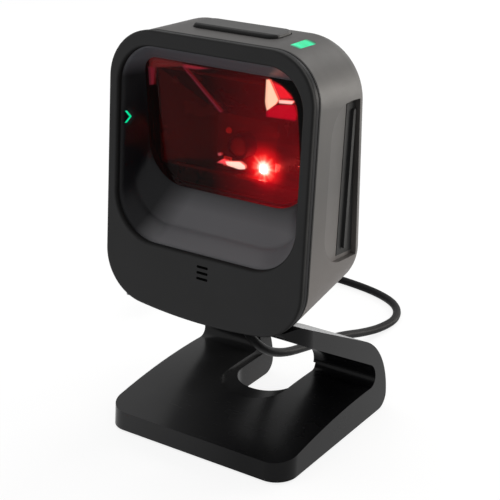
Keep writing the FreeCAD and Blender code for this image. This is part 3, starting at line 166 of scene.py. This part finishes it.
moulded = {
    "bezel": {"colour": (0.011, 0.011, 0.0115), "rough": (0.38, 0.48), "grain": 0.35, "gloss": 0.22},
    "trim": {"colour": (0.005, 0.005, 0.006), "rough": (0.42, 0.52), "grain": 0.3, "gloss": 0.08},
    "housing": {"colour": (0.040, 0.037, 0.035), "rough": (0.50, 0.60), "grain": 0.4, "gloss": 0.4},
    "hood": {"colour": (0.003, 0.003, 0.004), "rough": (0.28, 0.36), "grain": 0.2, "gloss": 0.16},
    "key": {"colour": (0.030, 0.029, 0.028), "rough": (0.48, 0.58), "grain": 0.3, "gloss": 0.35},
    "cover": {"colour": (0.014, 0.014, 0.015), "rough": (0.45, 0.6), "grain": 0.8, "gloss": 0.4},
    "plug": {"colour": (0.012, 0.012, 0.013), "rough": (0.42, 0.55), "grain": 0.5, "gloss": 0.45},
    "socket": {"colour": (0.62, 0.6, 0.52), "rough": (0.4, 0.5), "grain": 0.3, "gloss": 0.5},
    "plunger": {"colour": (0.7, 0.69, 0.64), "rough": (0.4, 0.5), "grain": 0.2, "gloss": 0.5},
    "washer": {"colour": (0.8, 0.79, 0.74), "rough": (0.35, 0.45), "grain": 0.2, "gloss": 0.5},
    "sounder": {"colour": (0.01, 0.01, 0.01), "rough": (0.5, 0.6), "grain": 0.3, "gloss": 0.4},
}
# repeats per metre of each layer of the mould's texture, and the depth of its grain in metres
texture = {"grain": 2600.0, "fineGrain": 5200.0, "cloud": 38.0, "wipe": 140.0, "depth": 0.00006}
# painted light: the lower half of the housing is painted paler, standing in for the light it catches from the
# table; heights in metres
paintedLowLight = {"colour": (0.112, 0.101, 0.095), "heights": (0.078, 0.118)}
# painted shade: a part is darkened to black between two depths behind the face: beside the seam, and at the
# key's front; millimetres
shadeBands = {"bezel": (0.12, 4.0), "housing": (3.0, 5.9), "key": (10.0, 18.6)}
# the painted shade's black, how much rougher it is, and how soft its edges are in millimetres
shadeBandLook = {"colour": (0.002, 0.002, 0.002), "rougher": 0.3, "blur": 0.2}
# a point on the head's front plane, in metres, and the plane's lean in degrees
face = {"point": (0.0, -0.0359, 0.0578), "lean": 5.1}
# painted light: the hood's ramp below the window and its lip above it are painted a paler, bluish grey than
# its walls, for the light they catch
hoodPaintedLight = {
    "ramp": (0.128, 0.126, 0.134),
    "rampTop": (98.0, 110.0),  # heights between which the ramp's grey fades, in millimetres
    "rampSide": (-69.5, -56.0),  # where it starts beside the left wall, which leans across as it rises
    "sideLean": 0.39,
    "lip": (0.085, 0.085, 0.096),
    "lipFoot": (150.0, 157.0),
    "edgeRadius": 0.0035,
}


def headDepth(shader):
    # millimetres behind the head's leaning front plane
    lean = math.radians(face["lean"])
    across = (0.0, 1000 * math.cos(lean), -1000 * math.sin(lean))
    return shader.vector("DOT_PRODUCT", across, "Value") - Vector(face["point"]).dot(Vector(across))


# 1 between the near and far depths behind the face, where shade is painted
def paintedShadeBand(shader, near, far):
    depth, blur = headDepth(shader), shadeBandLook["blur"]
    behindNear = shader.range(depth, near - blur, near + blur)
    return behindNear * shader.range(depth, far - blur, far + blur, 1.0, 0.0)


# painted light: the hood paler on its ramp and its lip
def paintHoodLight(shader, colour):
    x, z = shader.axis("X") * 1000, shader.axis("Z") * 1000
    low = shader.range(z, *hoodPaintedLight["rampTop"], 1.0, 0.0)
    middle = shader.range(x - z * hoodPaintedLight["sideLean"], *hoodPaintedLight["rampSide"])
    colour = shader.blend(low * middle, colour, hoodPaintedLight["ramp"])
    return shader.blend(shader.range(z, *hoodPaintedLight["lipFoot"]), colour, hoodPaintedLight["lip"])


def mouldedPlastic(name):
    # the mould's fine grain, with a slow change of shade and sheen
    look = moulded[name]
    shader = Shader(name + "Plastic", Specular_IOR_Level=look["gloss"])
    grain = shader.cells(texture["grain"]) * 0.6 + shader.noise(texture["fineGrain"]) * 0.4
    cloud = shader.noise(texture["cloud"], 3.0, 0.55)
    wipe = shader.noise(texture["wipe"], 4.0, 0.6)
    rough = shader.range(cloud * 0.6 + wipe * 0.4, 0.3, 0.7, *look["rough"])
    pale = tuple(c * 1.35 + 0.001 for c in look["colour"])
    colour = shader.blend(shader.range(cloud, 0.35, 0.7), look["colour"], pale)
    smooth = None
    if name == "housing":
        # painted light: paler towards the bottom, for the light it catches from the table
        low = shader.range(shader.axis("Z"), *paintedLowLight["heights"], 1.0, 0.0)
        colour = shader.blend(low, colour, paintedLowLight["colour"])
    # painted shade: black beside the seam and on the key's front
    if name in shadeBands:
        band = paintedShadeBand(shader, *shadeBands[name])
        colour = shader.blend(band, colour, shadeBandLook["colour"])
        rough = rough + band * shadeBandLook["rougher"]
    if name == "hood":
        # painted light on the ramp and the lip
        colour = paintHoodLight(shader, colour)
        # its edges catch the light as rounder ones would
        rounding = {"Radius": hoodPaintedLight["edgeRadius"]}
        smooth = shader.node("ShaderNodeBevel", {"samples": 8}, rounding, "Normal")
    normal = shader.bump(grain, look["grain"] * 0.22, texture["depth"], smooth)
    return shader.set(Base_Color=colour, Roughness=rough, Normal=normal)


stand = {
    "colour": (0.0045, 0.0045, 0.005),
    "gloss": 0.12,
    "rough": (0.2, 0.28),
    # repeats per metre of the ripple, the slow change of sheen, the hairlines along each axis and the specks
    "ripple": 90.0,
    "cloud": 30.0,
    "hairs": (90.0, 1600.0, 900.0),
    "specks": 900.0,
    "speckColour": (0.03, 0.03, 0.031),
    # painted reflection on the base's left half, for the bright surroundings it reflects: its colour, and
    # where it ends in x and in height
    "paintedReflection": (0.042, 0.042, 0.043),
    "reflectionX": (-0.035, 0.025),
    "reflectionZ": (0.012, 0.022),
}


def polishedPlastic():
    # high-gloss black with a faint ripple from the mould, hairline wipe marks, dust specks and a painted
    # reflection low on its left
    shader = Shader("polishedStand", Specular_IOR_Level=stand["gloss"])
    ripple = shader.noise(stand["ripple"], 2.0, 0.4)
    hairs = shader.noise(1.0, 3.0, 0.5, shader.scaled(*stand["hairs"]))
    marks = shader.range(hairs, 0.66, 0.74)
    dust = shader.range(shader.noise(stand["specks"]), 0.72, 0.78)
    cloud = shader.noise(stand["cloud"], 3.0)
    rough = shader.range(cloud, 0.35, 0.65, *stand["rough"]) + marks * 0.05 + dust * 0.1
    colour = shader.blend(dust * 0.25, stand["colour"], stand["speckColour"])
    # painted reflection: paler low on the left
    left = shader.range(shader.axis("X"), *stand["reflectionX"], 1.0, 0.0)
    low = shader.range(shader.axis("Z"), *stand["reflectionZ"], 1.0, 0.0)
    colour = shader.blend(left * low, colour, stand["paintedReflection"])
    return shader.set(Base_Color=colour, Roughness=rough, Normal=shader.bump(ripple, 0.06, 0.0004))


rubbers = {
    "grip": {"colour": (0.012, 0.012, 0.012), "rough": (0.55, 0.7), "gloss": 0.25},
    "foot": {"colour": (0.02, 0.02, 0.02), "rough": (0.6, 0.75), "gloss": 0.25},
    "gland": {"colour": (0.012, 0.012, 0.012), "rough": (0.5, 0.65), "gloss": 0.25},
    "jacket": {"colour": (0.008, 0.008, 0.0085), "rough": (0.42, 0.55), "gloss": 0.08},
}


def softRubber(name):
    look = rubbers[name]
    shader = Shader(name + "Rubber", Specular_IOR_Level=look["gloss"], Sheen_Weight=0.01, Sheen_Roughness=0.5)
    grain = shader.noise(2400.0, 3.0, 0.6)
    cloud = shader.noise(60.0, 3.0, 0.55)
    rough = shader.range(cloud, 0.3, 0.7, *look["rough"])
    bloom = shader.range(shader.noise(25.0, 4.0, 0.6), 0.5, 0.8, 0.0, 0.5)
    colour = shader.blend(bloom, look["colour"], dimmed(look["colour"], 2.0))
    return shader.set(Base_Color=colour, Roughness=rough, Normal=shader.bump(grain, 0.12, 0.0001))


metals = {
    "zinc": {"colour": (0.56, 0.56, 0.57), "rough": (0.28, 0.42), "lines": (60.0, 2600.0, 60.0)},
    "screw": {"colour": (0.5, 0.5, 0.5), "rough": (0.25, 0.4), "lines": (900.0, 900.0, 900.0)},
    "pin": {"colour": (0.62, 0.62, 0.62), "rough": (0.18, 0.26), "lines": (3000.0, 120.0, 120.0)},
    "ballast": {"colour": (0.34, 0.34, 0.35), "rough": (0.35, 0.55), "lines": (60.0, 1400.0, 60.0)},
    "barrel": {"colour": (0.012, 0.012, 0.013), "rough": (0.4, 0.5), "lines": (60.0, 3000.0, 60.0)},
    "plated": {"colour": (0.72, 0.72, 0.73), "rough": (0.14, 0.22), "lines": (400.0, 60.0, 400.0)},
}


def metal(name):
    # fine lines along the way the metal was drawn or turned
    look = metals[name]
    shader = Shader(name + "Metal", Metallic=1.0)
    lines = shader.noise(1.0, 4.0, 0.5, shader.scaled(*look["lines"]))
    cloud = shader.noise(120.0, 3.0)
    rough = shader.range(lines * 0.6 + cloud * 0.4, 0.3, 0.7, *look["rough"])
    colour = shader.blend(shader.range(cloud, 0.4, 0.75), look["colour"], dimmed(look["colour"], 0.72))
    return shader.set(Base_Color=colour, Roughness=rough, Normal=shader.bump(lines, 0.08, 0.0001))


# places in the pane are x and height, in millimetres; outlines run anticlockwise
window = {
    "tint": (0.74, 0.06, 0.05),
    "index": 1.12,
    "rough": (0.015, 0.05),
    "wipe": 70.0,
    "frame": (0.002, 0.002, 0.002),
    # painted glow: red light from inside the head, painted on the pane, grows towards the right and the
    # bottom
    "dark": (0.001, 0.001, 0.001),
    "paintedRedGlow": (0.085, 0.001, 0.003),
    "redGlowX": (-8.0, 18.0),
    "redGlowZ": (108.0, 150.0),
    "streaks": (120.0, 120.0, 900.0),
    # the clear part of the pane, inside its black frame
    "clear": [(-60, 104), (32.4, 104), (33.7, 115.5), (34.0, 126.9), (33.7, 140.4), (33.0, 148.1),
              (30.6, 152.0), (26.2, 155.1), (20.0, 157.6), (-60, 160)],
    # the lit lamp's glare, painted on the pane: its middle, and its colours from the middle outwards
    "paintedGlare": {"middle": (17.6, 120.4), "heart": (1.0, 0.93, 0.78), "ring": (1.0, 0.30, 0.20),
              "halo": (0.80, 0.0, 0.012)},
    # painted reflections in the pane, each an outline and a colour
    "paintedGlints": {
        "topRim": ([(-36, 152.6), (-31.5, 153.4), (-19.4, 155.2), (-19.4, 157.4), (-35.4, 157.4)],
                   (0.05, 0.008, 0.008)),
        "sideRim": ([(-36.4, 145.5), (-34.2, 146), (-33.2, 153), (-36.4, 153)], (0.07, 0.008, 0.014)),
        "edge": ([(-2.2, 139.6), (-1.2, 140.1), (-18.5, 155.6), (-19.1, 155.2)], (0.12, 0.012, 0.022)),
        "edgeTop": ([(-19.4, 155.2), (-12.9, 155.2), (-6.2, 156.6), (-19.2, 156.6)], (0.12, 0.012, 0.020)),
        "lowFacet": ([(19.2, 141.5), (32.2, 142.1), (32.9, 144.6), (31.8, 148.1), (24.3, 147), (19.2, 143.8)],
                     (0.26, 0.001, 0.010)),
        "topFacet": ([(25.2, 149.5), (31.4, 150.5), (27.1, 154.5), (21.6, 155.8)], (0.46, 0.010, 0.02)),
        "band": ([(25.2, 147.9), (30.9, 148.4), (31.7, 149.7), (25.1, 149.1)], (1.0, 0.50, 0.44)),
        "sideFacet": ([(19.6, 144.1), (23.9, 147.5), (24.8, 149.1), (21.1, 156.3), (19.7, 156.3),
                       (18.9, 147.1)], (1.0, 0.52, 0.36)),
        "strip": ([(-4.6, 118.6), (0.2, 118.4), (1.2, 120.3), (-1.6, 120.7)], (0.60, 0.06, 0.07)),
        "stripHeart": ([(0.2, 118.4), (5.9, 117.7), (8.8, 118.4), (8.8, 119.7), (6.5, 120.9), (-0.5, 119.8)],
                       (1.0, 0.62, 0.52)),
        "speck": ([(-3.7, 121.5), (-2.3, 122.0), (-2.7, 122.9), (-4.2, 122.6)], (0.35, 0.06, 0.07)),
    },
}


def inside(shader, x, z, corners):
    # 1 within a convex outline, falling off softly at its sides
    soft = 0.25  # millimetres
    mask = None
    for (x0, z0), (x1, z1) in zip(corners, corners[1:] + corners[:1]):
        length = math.hypot(x1 - x0, z1 - z0)
        across = (z - z0) * ((x1 - x0) / length) - (x - x0) * ((z1 - z0) / length)
        side = shader.range(across, -soft, soft)
        mask = side if mask is None else mask * side
    return mask


def paintedGlare(shader, right, up, glow):
    # painted on the pane: a white heart, a pink ring that breaks into thin rays, and a wide red halo;
    # distances in millimetres
    look = window["paintedGlare"]
    away = (right * right + up * up) ** 0.5
    turn = shader.math("ARCTAN2", up, right)
    coarse = shader.math("COSINE", turn * 8) * 0.5 + 0.5
    fine = shader.math("COSINE", turn * 13 + 0.7) * 0.5 + 0.5
    rays = coarse * coarse * 0.5 + fine * fine * 0.5
    halo = shader.range(away, 1.5, 12.0, 1.0, 0.0) ** 2.2
    ring = shader.range(away - rays * 1.9, 1.2, 5.2, 1.0, 0.0) ** 1.8
    heart = shader.range(away - rays * 0.3, 1.6, 3.2, 1.0, 0.0)
    glow = shader.blend(halo * 0.85, glow, look["halo"])
    glow = shader.blend(ring, glow, look["ring"])
    return shader.blend(heart, glow, look["heart"])


def redWindow():
    # clear acrylic dyed deep red, with a faint haze of wipe marks; the lamps' glints and glare and the red
    # light from inside are painted on it as glow
    shader = Shader("redWindow", Transmission_Weight=1.0, IOR=window["index"], Emission_Strength=1.0)
    wipe = shader.noise(window["wipe"], 4.0, 0.6)
    rough = shader.range(wipe, 0.35, 0.75, *window["rough"])
    cloud = shader.range(shader.noise(20.0), 0.3, 0.7)
    colour = shader.blend(cloud, window["tint"], dimmed(window["tint"], 0.85))
    x, z = shader.axis("X") * 1000, shader.axis("Z") * 1000
    # painted glow, streaked and growing towards the right and the bottom
    paintedRedGlow = shader.range(x, *window["redGlowX"]) * shader.range(z, *window["redGlowZ"], 1.0, 0.4)
    streaks = shader.noise(1.0, 3.0, 0.6, shader.scaled(*window["streaks"]))
    streaks = shader.range(streaks, 0.3, 0.75, 0.6, 1.2)
    glow = shader.blend(paintedRedGlow * streaks, window["dark"], window["paintedRedGlow"])
    # painted reflections added into the glow
    for corners, shade in window["paintedGlints"].values():
        glow = shader.blend(inside(shader, x, z, corners), glow, shade)
    right, up = window["paintedGlare"]["middle"]
    glow = paintedGlare(shader, x - right, z - up, glow)
    clear = inside(shader, x, z, window["clear"])
    colour = shader.blend(clear, window["frame"], colour)
    glow = shader.blend(clear, (0.0, 0.0, 0.0), glow)
    return shader.set(Base_Color=colour, Roughness=rough, Emission_Color=glow)


clearParts = {
    "coatedLens": {"tint": (0.75, 0.78, 0.9)},
    # only what lies to the right of litFrom, an x in metres, shines
    "lampLens": {"tint": (0.98, 0.9, 0.88), "glow": (1.0, 0.85, 0.75), "strength": 30.0, "litFrom": 0.002},
    "aimerLens": {"tint": (0.9, 0.25, 0.2), "glow": (1.0, 0.15, 0.1), "strength": 0.15, "litFrom": -1.0},
}


def clearPart(name):
    tint = clearParts[name]["tint"]
    shader = Shader(name, Transmission_Weight=0.9, IOR=1.5)
    cloud = shader.noise(400.0)
    colour = shader.blend(cloud * 0.3, tint, dimmed(tint, 0.8))
    return shader.set(Base_Color=colour, Roughness=shader.range(cloud, 0.3, 0.7, 0.03, 0.1))


def litPart(name):
    # a clear lens over a lamp
    look = clearParts[name]
    glow = look["glow"]
    shader = Shader(name, Transmission_Weight=0.9, IOR=1.5, Emission_Strength=look["strength"])
    cloud = shader.noise(400.0)
    warm = shader.blend(shader.range(cloud, 0.3, 0.7), glow, dimmed(glow, 0.85))
    lit = shader.blend(shader.axis("X").over(look["litFrom"]), dimmed(glow, 0.0004), warm)
    rough = shader.range(cloud, 0.3, 0.7, 0.04, 0.1)
    return shader.set(Base_Color=look["tint"], Roughness=rough, Emission_Color=lit)


greenLight = {
    "shade": (0.0, 0.66, 0.26),
    "bright": (0.0, 0.85, 0.4),
    "ends": (0.0, 0.03, 0.015),
    "unlit": (0.0, 0.04, 0.02),
    # the axis along each light pipe, and how far from its middle the fade starts and ends, in millimetres
    "chevron_light": ("Z", 3.3, 4.2),
    "status_light": ("Y", 4.2, 6.2),
}


def litGreen(name):
    # a frosted light pipe, bright in its middle
    shader = Shader(name + "Glow", Specular_IOR_Level=0.15, Emission_Strength=1.0)
    cloud = shader.noise(500.0, 3.0)
    patches = shader.range(shader.noise(160.0), 0.35, 0.7)
    glow = shader.blend(patches, greenLight["shade"], greenLight["bright"])
    axis, start, end = greenLight[name]
    low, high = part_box(name)
    middle = (low["XYZ".index(axis)] + high["XYZ".index(axis)]) / 2
    off = shader.math("ABSOLUTE", shader.axis(axis) - middle) * 1000
    glow = shader.blend(shader.range(off, start, end), glow, greenLight["ends"])
    rough = shader.range(cloud, 0.3, 0.7, 0.25, 0.4)
    normal = shader.bump(cloud, 0.1, 0.00005)
    return shader.set(Base_Color=greenLight["unlit"], Emission_Color=glow, Roughness=rough, Normal=normal)


board = {
    "mask": (0.008, 0.055, 0.024),
    "tracks": (0.016, 0.11, 0.05),
    "pads": (0.55, 0.42, 0.16),
    "tracksPerMetre": 260.0,
    "padsPerMetre": 420.0,
}


def circuitBoard():
    # solder mask over copper: tracks on a grid stand a little proud
    shader = Shader("circuitBoard", Specular_IOR_Level=0.5)
    grid = shader.node("ShaderNodeTexBrick", {"offset": 0.37}, {
        "Vector": shader.place(), "Color1": (0.0, 0.0, 0.0), "Color2": (0.15, 0.15, 0.15),
        "Mortar": (1.0, 1.0, 1.0), "Mortar Size": 0.05, "Mortar Smooth": 0.2,
        "Scale": board["tracksPerMetre"]}, "Fac")
    dots = shader.range(shader.cells(board["padsPerMetre"]), 0.08, 0.12, 1.0, 0.0)
    colour = shader.blend(grid * 0.6, board["mask"], board["tracks"])
    colour = shader.blend(dots, colour, board["pads"])
    rough = shader.range(shader.noise(300.0), 0.3, 0.7, 0.25, 0.4)
    return shader.set(Base_Color=colour, Roughness=rough, Normal=shader.bump(grid, 0.3, 0.00005))


# the lamps' bases: colour, a darker tone, and the painted glow of their light
lampBase = {"colour": (0.75, 0.74, 0.7), "shade": (0.66, 0.65, 0.6), "glow": (0.5, 0.1, 0.08)}


def ceramic():
    # the lamps' pale bases, with a faint red glow painted on them for their light
    shader = Shader("ledCeramic", Emission_Strength=0.25)
    cloud = shader.noise(900.0)
    colour = shader.blend(cloud, lampBase["colour"], lampBase["shade"])
    rough = shader.range(cloud, 0.3, 0.7, 0.4, 0.55)
    return shader.set(Base_Color=colour, Roughness=rough, Emission_Color=lampBase["glow"])


shroud = {
    "colour": (0.014, 0.011, 0.011),
    "paler": (0.024, 0.018, 0.018),
    # the painted glow of the lamp's light on the shroud: its colour, and how far from the lit lamp it reaches
    "paintedSpill": (1.0, 0.1, 0.08),
    "reach": (0.0015, 0.0145),  # metres from the lit lamp
}


def litLamp():
    # the middle of the right-hand lamp
    low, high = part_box("led_lenses")
    radius = (high[2] - low[2]) / 2
    return high[0] - radius, high[1], (low[2] + high[2]) / 2


def shroudPlastic():
    # a smoke-black funnel; the lamp's light spilling over it is painted on as a red glow
    shader = Shader("shroudPlastic", Specular_IOR_Level=0.4, Emission_Strength=1.0)
    cloud = shader.noise(110.0, 3.0)
    colour = shader.blend(cloud, shroud["colour"], shroud["paler"])
    rough = shader.range(cloud, 0.3, 0.7, 0.18, 0.3)
    away = shader.vector("DISTANCE", litLamp(), "Value")
    paintedSpill = shader.range(away, *shroud["reach"], 1.0, 0.0) ** 2.4
    glow = shader.blend(paintedSpill, (0.0, 0.0, 0.0), shroud["paintedSpill"])
    normal = shader.bump(shader.noise(1800.0), 0.05, 0.0001)
    return shader.set(Base_Color=colour, Roughness=rough, Normal=normal, Emission_Color=glow)


# the strap's colour, the painted shade between its loops, and repeats per metre of loops and ribs
tie = {"colour": (0.02, 0.02, 0.021), "gapShade": (0.006, 0.006, 0.006), "loops": 1500.0, "ribs": 700.0}


def wovenTie():
    # hook-and-loop strap: rows of small loops, with painted shade in the gaps between them
    shader = Shader("wovenTie", Sheen_Weight=0.25, Sheen_Roughness=0.6, Specular_IOR_Level=0.25)
    loops = shader.cells(tie["loops"])
    rib = shader.noise(tie["ribs"], 3.0, 0.7)
    height = (1 - loops) * 0.7 + rib * 0.3
    colour = shader.blend(loops, tie["colour"], tie["gapShade"])
    rough = shader.range(rib, 0.3, 0.7, 0.8, 0.95)
    return shader.set(Base_Color=colour, Roughness=rough, Normal=shader.bump(height, 0.7, 0.0003))


finishes = {
    "stand_shell": polishedPlastic(),
    "front_bezel": mouldedPlastic("bezel"),
    "trim_ring": mouldedPlastic("trim"),
    "rear_housing": mouldedPlastic("housing"),
    "recess_hood": mouldedPlastic("hood"),
    "top_button": mouldedPlastic("key"),
    "base_cover": mouldedPlastic("cover"),
    "plug_body": mouldedPlastic("plug"),
    "board_connector": mouldedPlastic("socket"),
    "switch_plunger": mouldedPlastic("plunger"),
    "friction_washers": mouldedPlastic("washer"),
    "sounder": mouldedPlastic("sounder"),
    "grip_insert_left": softRubber("grip"),
    "rubber_feet": softRubber("foot"),
    "lead_gland": softRubber("gland"),
    "hinge_bracket": metal("zinc"),
    "cover_screws": metal("screw"),
    "hinge_pin": metal("pin"),
    "ballast_plate": metal("ballast"),
    "camera_barrel": metal("barrel"),
    "plug_shell": metal("plated"),
    "scan_window": redWindow(),
    "camera_lens": clearPart("coatedLens"),
    "led_lenses": litPart("lampLens"),
    "aimer_led": litPart("aimerLens"),
    "illumination_leds": ceramic(),
    "chevron_light": litGreen("chevron_light"),
    "status_light": litGreen("status_light"),
    "light_shroud": shroudPlastic(),
    "main_board": circuitBoard(),
    "coil_tie": wovenTie(),
}
# pieces with another piece's finish
shared = {
    "pin_plug": "base_cover", "lead_socket": "board_connector", "grip_insert_right": "grip_insert_left",
    "bracket_screws": "cover_screws", "housing_screws": "cover_screws", "board_screws": "cover_screws",
    "imager_board": "main_board", "key_board": "main_board", "button_switch": "hinge_bracket",
}

for name, item in nodes.items():
    finish = finishes.get(shared.get(name, name))
    if finish and item.type == "MESH":
        item.data.materials.clear()
        item.data.materials.append(finish)
print("materials:", len(finishes))


lead = {
    "diameter": 0.004,
    "length": 2.0,
    "exit": (0.0019, -0.0139, 0.0596),
    # from inside the head, down through the stand and away behind it to the coil
    "route": [
        (0.0018, -0.0152, 0.0652), (0.0020, -0.0134, 0.0574), (0.0025, -0.0074, 0.0480),
        (0.0030, -0.0020, 0.0388), (0.0031, 0.0066, 0.0304), (0.0025, 0.0164, 0.0242),
        (0.0020, 0.0280, 0.0194), (0.0022, 0.0410, 0.0164), (0.0030, 0.0550, 0.0138),
        (0.0034, 0.0680, 0.0112), (0.0040, 0.0790, 0.0083), (0.0052, 0.0910, 0.0048),
        (0.0074, 0.1050, 0.0023), (0.0086, 0.1196, 0.0020), (0.0010, 0.1336, 0.0020),
        (-0.0135, 0.1416, 0.0020), (-0.0330, 0.1456, 0.0020), (-0.0560, 0.1472, 0.0020),
    ],
}
coil = {
    "centre": (-0.078, 0.118),
    "radius": 0.023,
    "pitch": 0.00415,
    "columns": 4,
    "rows": 3,
    "turns": 11,
    "pointsPerTurn": 16,
    "shift": 0.28,  # the share of each turn, at its end, in which it moves over to the next place
}
# the lead's end climbs off the coil's last, innermost turn and bends over the others into the plug's neck
tail = {
    "radius": 0.0168,
    "neckPlay": 0.0005,
    "start": 0.0103,
    # degrees round the coil, and the height climbed there
    "climb": [(90, 0.0), (120, 0.0006), (150, 0.0016), (180, 0.0028), (210, 0.0035), (240, 0.0040),
              (270, 0.0043), (300, 0.0044), (330, 0.0045), (360, 0.0045)],
    "widenFrom": 200,
    "bend": [25, 55, 90, 125, 155],
    "bendHeight": 0.0148,
    "neckHeight": 0.0163,
    "beforeNeck": 0.004,
    "inNeck": 0.006,
}


def coilPoints():
    # turns fill a row from outside to inside, then the next row back outwards
    steps = coil["pointsPerTurn"]
    lift = lead["diameter"] / 2
    places = []
    for row in range(coil["rows"]):
        columns = list(range(coil["columns"]))
        if row % 2 == 0:
            columns.reverse()
        for column in columns:
            off = (column - (coil["columns"] - 1) / 2) * coil["pitch"]
            places.append((coil["radius"] + off, lift + row * coil["pitch"]))
    points = []
    for here, after in zip(places[:coil["turns"]], places[1:]):
        for step in range(steps):
            share = max(0.0, (step / steps - (1 - coil["shift"])) / coil["shift"])
            ease = share * share * (3 - 2 * share)
            radius = here[0] + (after[0] - here[0]) * ease
            height = here[1] + (after[1] - here[1]) * ease
            angle = math.radians(90) + 2 * math.pi * step / steps
            x = coil["centre"][0] + radius * math.cos(angle)
            y = coil["centre"][1] + radius * math.sin(angle)
            points.append((x, y, height))
    return points


def tailPoints():
    cx, cy = coil["centre"]
    neckLow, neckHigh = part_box("plug_body")
    neckX, neckY, neckZ = (neckLow[0] + neckHigh[0]) / 2, neckHigh[1], tail["neckHeight"]
    wide = abs(neckX - cx) - tail["neckPlay"]
    points = []
    for degrees, climbed in tail["climb"]:
        angle = math.radians(degrees)
        widened = max(0.0, (degrees - tail["widenFrom"]) / (360 - tail["widenFrom"]))
        radius = tail["radius"] + (wide - tail["radius"]) * widened
        points.append((cx + radius * math.cos(angle), cy + radius * math.sin(angle), tail["start"] + climbed))
    bendY = neckY + tail["beforeNeck"]
    for degrees in tail["bend"]:
        angle = math.radians(degrees)
        height = tail["bendHeight"] + (neckZ - tail["bendHeight"]) * degrees / 180
        points.append((cx + wide * math.cos(angle), bendY + wide * math.sin(angle), height))
    points.append((neckX, bendY, neckZ))
    points.append((neckX, neckY - tail["inNeck"], neckZ))
    return points


def makeLead():
    curve = bpy.data.curves.new("lead_cord", "CURVE")
    curve.dimensions = "3D"
    curve.bevel_depth = lead["diameter"] / 2
    curve.bevel_resolution = 5
    curve.resolution_u = 6
    curve.use_fill_caps = True
    points = lead["route"] + coilPoints() + tailPoints()
    spline = curve.splines.new("NURBS")
    spline.points.add(len(points) - 1)
    for point, place in zip(spline.points, points):
        point.co = (*place, 1.0)
    spline.order_u = 3
    spline.use_endpoint_u = True
    piece = bpy.data.objects.new("lead_cord", curve)
    bpy.context.scene.collection.objects.link(piece)
    curve.materials.append(softRubber("jacket"))
    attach(piece, "stand")
    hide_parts("lead", "lead_coil")


makeLead()
print("lead laid")


studio = {
    "floor": (0.88, 0.88, 0.88),
    "floorSide": 6.0,
    "underObject": (0.24, 0.24, 0.24),
    "glow": (0.83, 0.83, 0.83),
    "sky": 0.5,
    "camera": (0.2904, -0.4270, 0.2883),
    "aim": (0.0225, -0.0314, 0.0932),
    "lens": 97.4,
    "sensor": 36.0,
    "nearest": 0.01,
}
# place, point lit, width, height, watts and colour of each softbox
softboxes = {
    "overhead": ((-0.3, 0.0, 1.1), (0.0, 0.0, 0.08), 0.8, 0.8, 2.2, (1.0, 1.0, 1.0)),
    "rightRear": ((0.80, 1.00, 0.16), (0.0, 0.0, 0.10), 0.8, 0.3, 10.0, (1.0, 0.96, 0.90)),
    "rearHigh": ((0.15, 1.0, 0.75), (0.0, 0.0, 0.12), 0.5, 0.4, 3.0, (1.0, 0.98, 0.95)),
}


def seenPlainly(graph):
    # 1 for rays straight from the camera, off shiny surfaces or through clear ones
    kinds = ("Is Camera Ray", "Is Glossy Ray", "Is Transmission Ray")
    camera, glossy, clear = [graph.node("ShaderNodeLightPath", {}, {}, kind) for kind in kinds]
    return (camera + glossy + clear).clamp()


def makeFloor():
    mesh = bpy.data.meshes.new("floor")
    s = studio["floorSide"] / 2
    mesh.from_pydata([(-s, -s, 0), (s, -s, 0), (s, s, 0), (-s, s, 0)], [], [(0, 1, 2, 3)])
    floor = bpy.data.objects.new("floor", mesh)
    bpy.context.scene.collection.objects.link(floor)
    shader = Shader("floorPaper", Specular_IOR_Level=0.0, Base_Color=studio["floor"])
    seen = shader.node("ShaderNodeBsdfPrincipled", {}, {
        "Base Color": studio["underObject"], "Specular IOR Level": 0.0,
        "Emission Color": studio["glow"], "Emission Strength": 1.0})
    mixed = shader.node("ShaderNodeMixShader", {}, {0: seenPlainly(shader), 1: shader.skin, 2: seen})
    shader.put(shader.output.inputs["Surface"], mixed)
    floor.data.materials.append(shader.material)


def makeWorld():
    world = bpy.data.worlds.new("studio")
    bpy.context.scene.world = world
    world.use_nodes = True
    graph = Graph(world.node_tree)
    sky = graph.node("ShaderNodeBackground", {}, {"Color": (1, 1, 1), "Strength": studio["sky"]})
    white = graph.node("ShaderNodeBackground", {}, {"Color": (1, 1, 1), "Strength": 1.0})
    mixed = graph.node("ShaderNodeMixShader", {}, {0: seenPlainly(graph), 1: sky, 2: white})
    graph.add("ShaderNodeOutputWorld", {}, {"Surface": mixed})


def makeSoftbox(name, place, aim, width, height, power, colour):
    light = bpy.data.lights.new(name, "AREA")
    light.shape = "RECTANGLE"
    light.size = width
    light.size_y = height
    light.energy = power
    light.color = colour
    lamp = bpy.data.objects.new(name, light)
    bpy.context.scene.collection.objects.link(lamp)
    lamp.location = place
    lamp.rotation_euler = (Vector(aim) - Vector(place)).to_track_quat("-Z", "Y").to_euler()


def makeCamera():
    data = bpy.data.cameras.new("camera")
    data.lens = studio["lens"]
    data.sensor_width = studio["sensor"]
    data.clip_start = studio["nearest"]
    camera = bpy.data.objects.new("camera", data)
    bpy.context.scene.collection.objects.link(camera)
    camera.location = studio["camera"]
    camera.rotation_euler = (Vector(studio["aim"]) - camera.location).to_track_quat("-Z", "Y").to_euler()
    bpy.context.scene.camera = camera


makeFloor()
makeWorld()
for name, values in softboxes.items():
    makeSoftbox(name, *values)
makeCamera()
bpy.context.scene.view_settings.view_transform = "Standard"
print("studio ready")
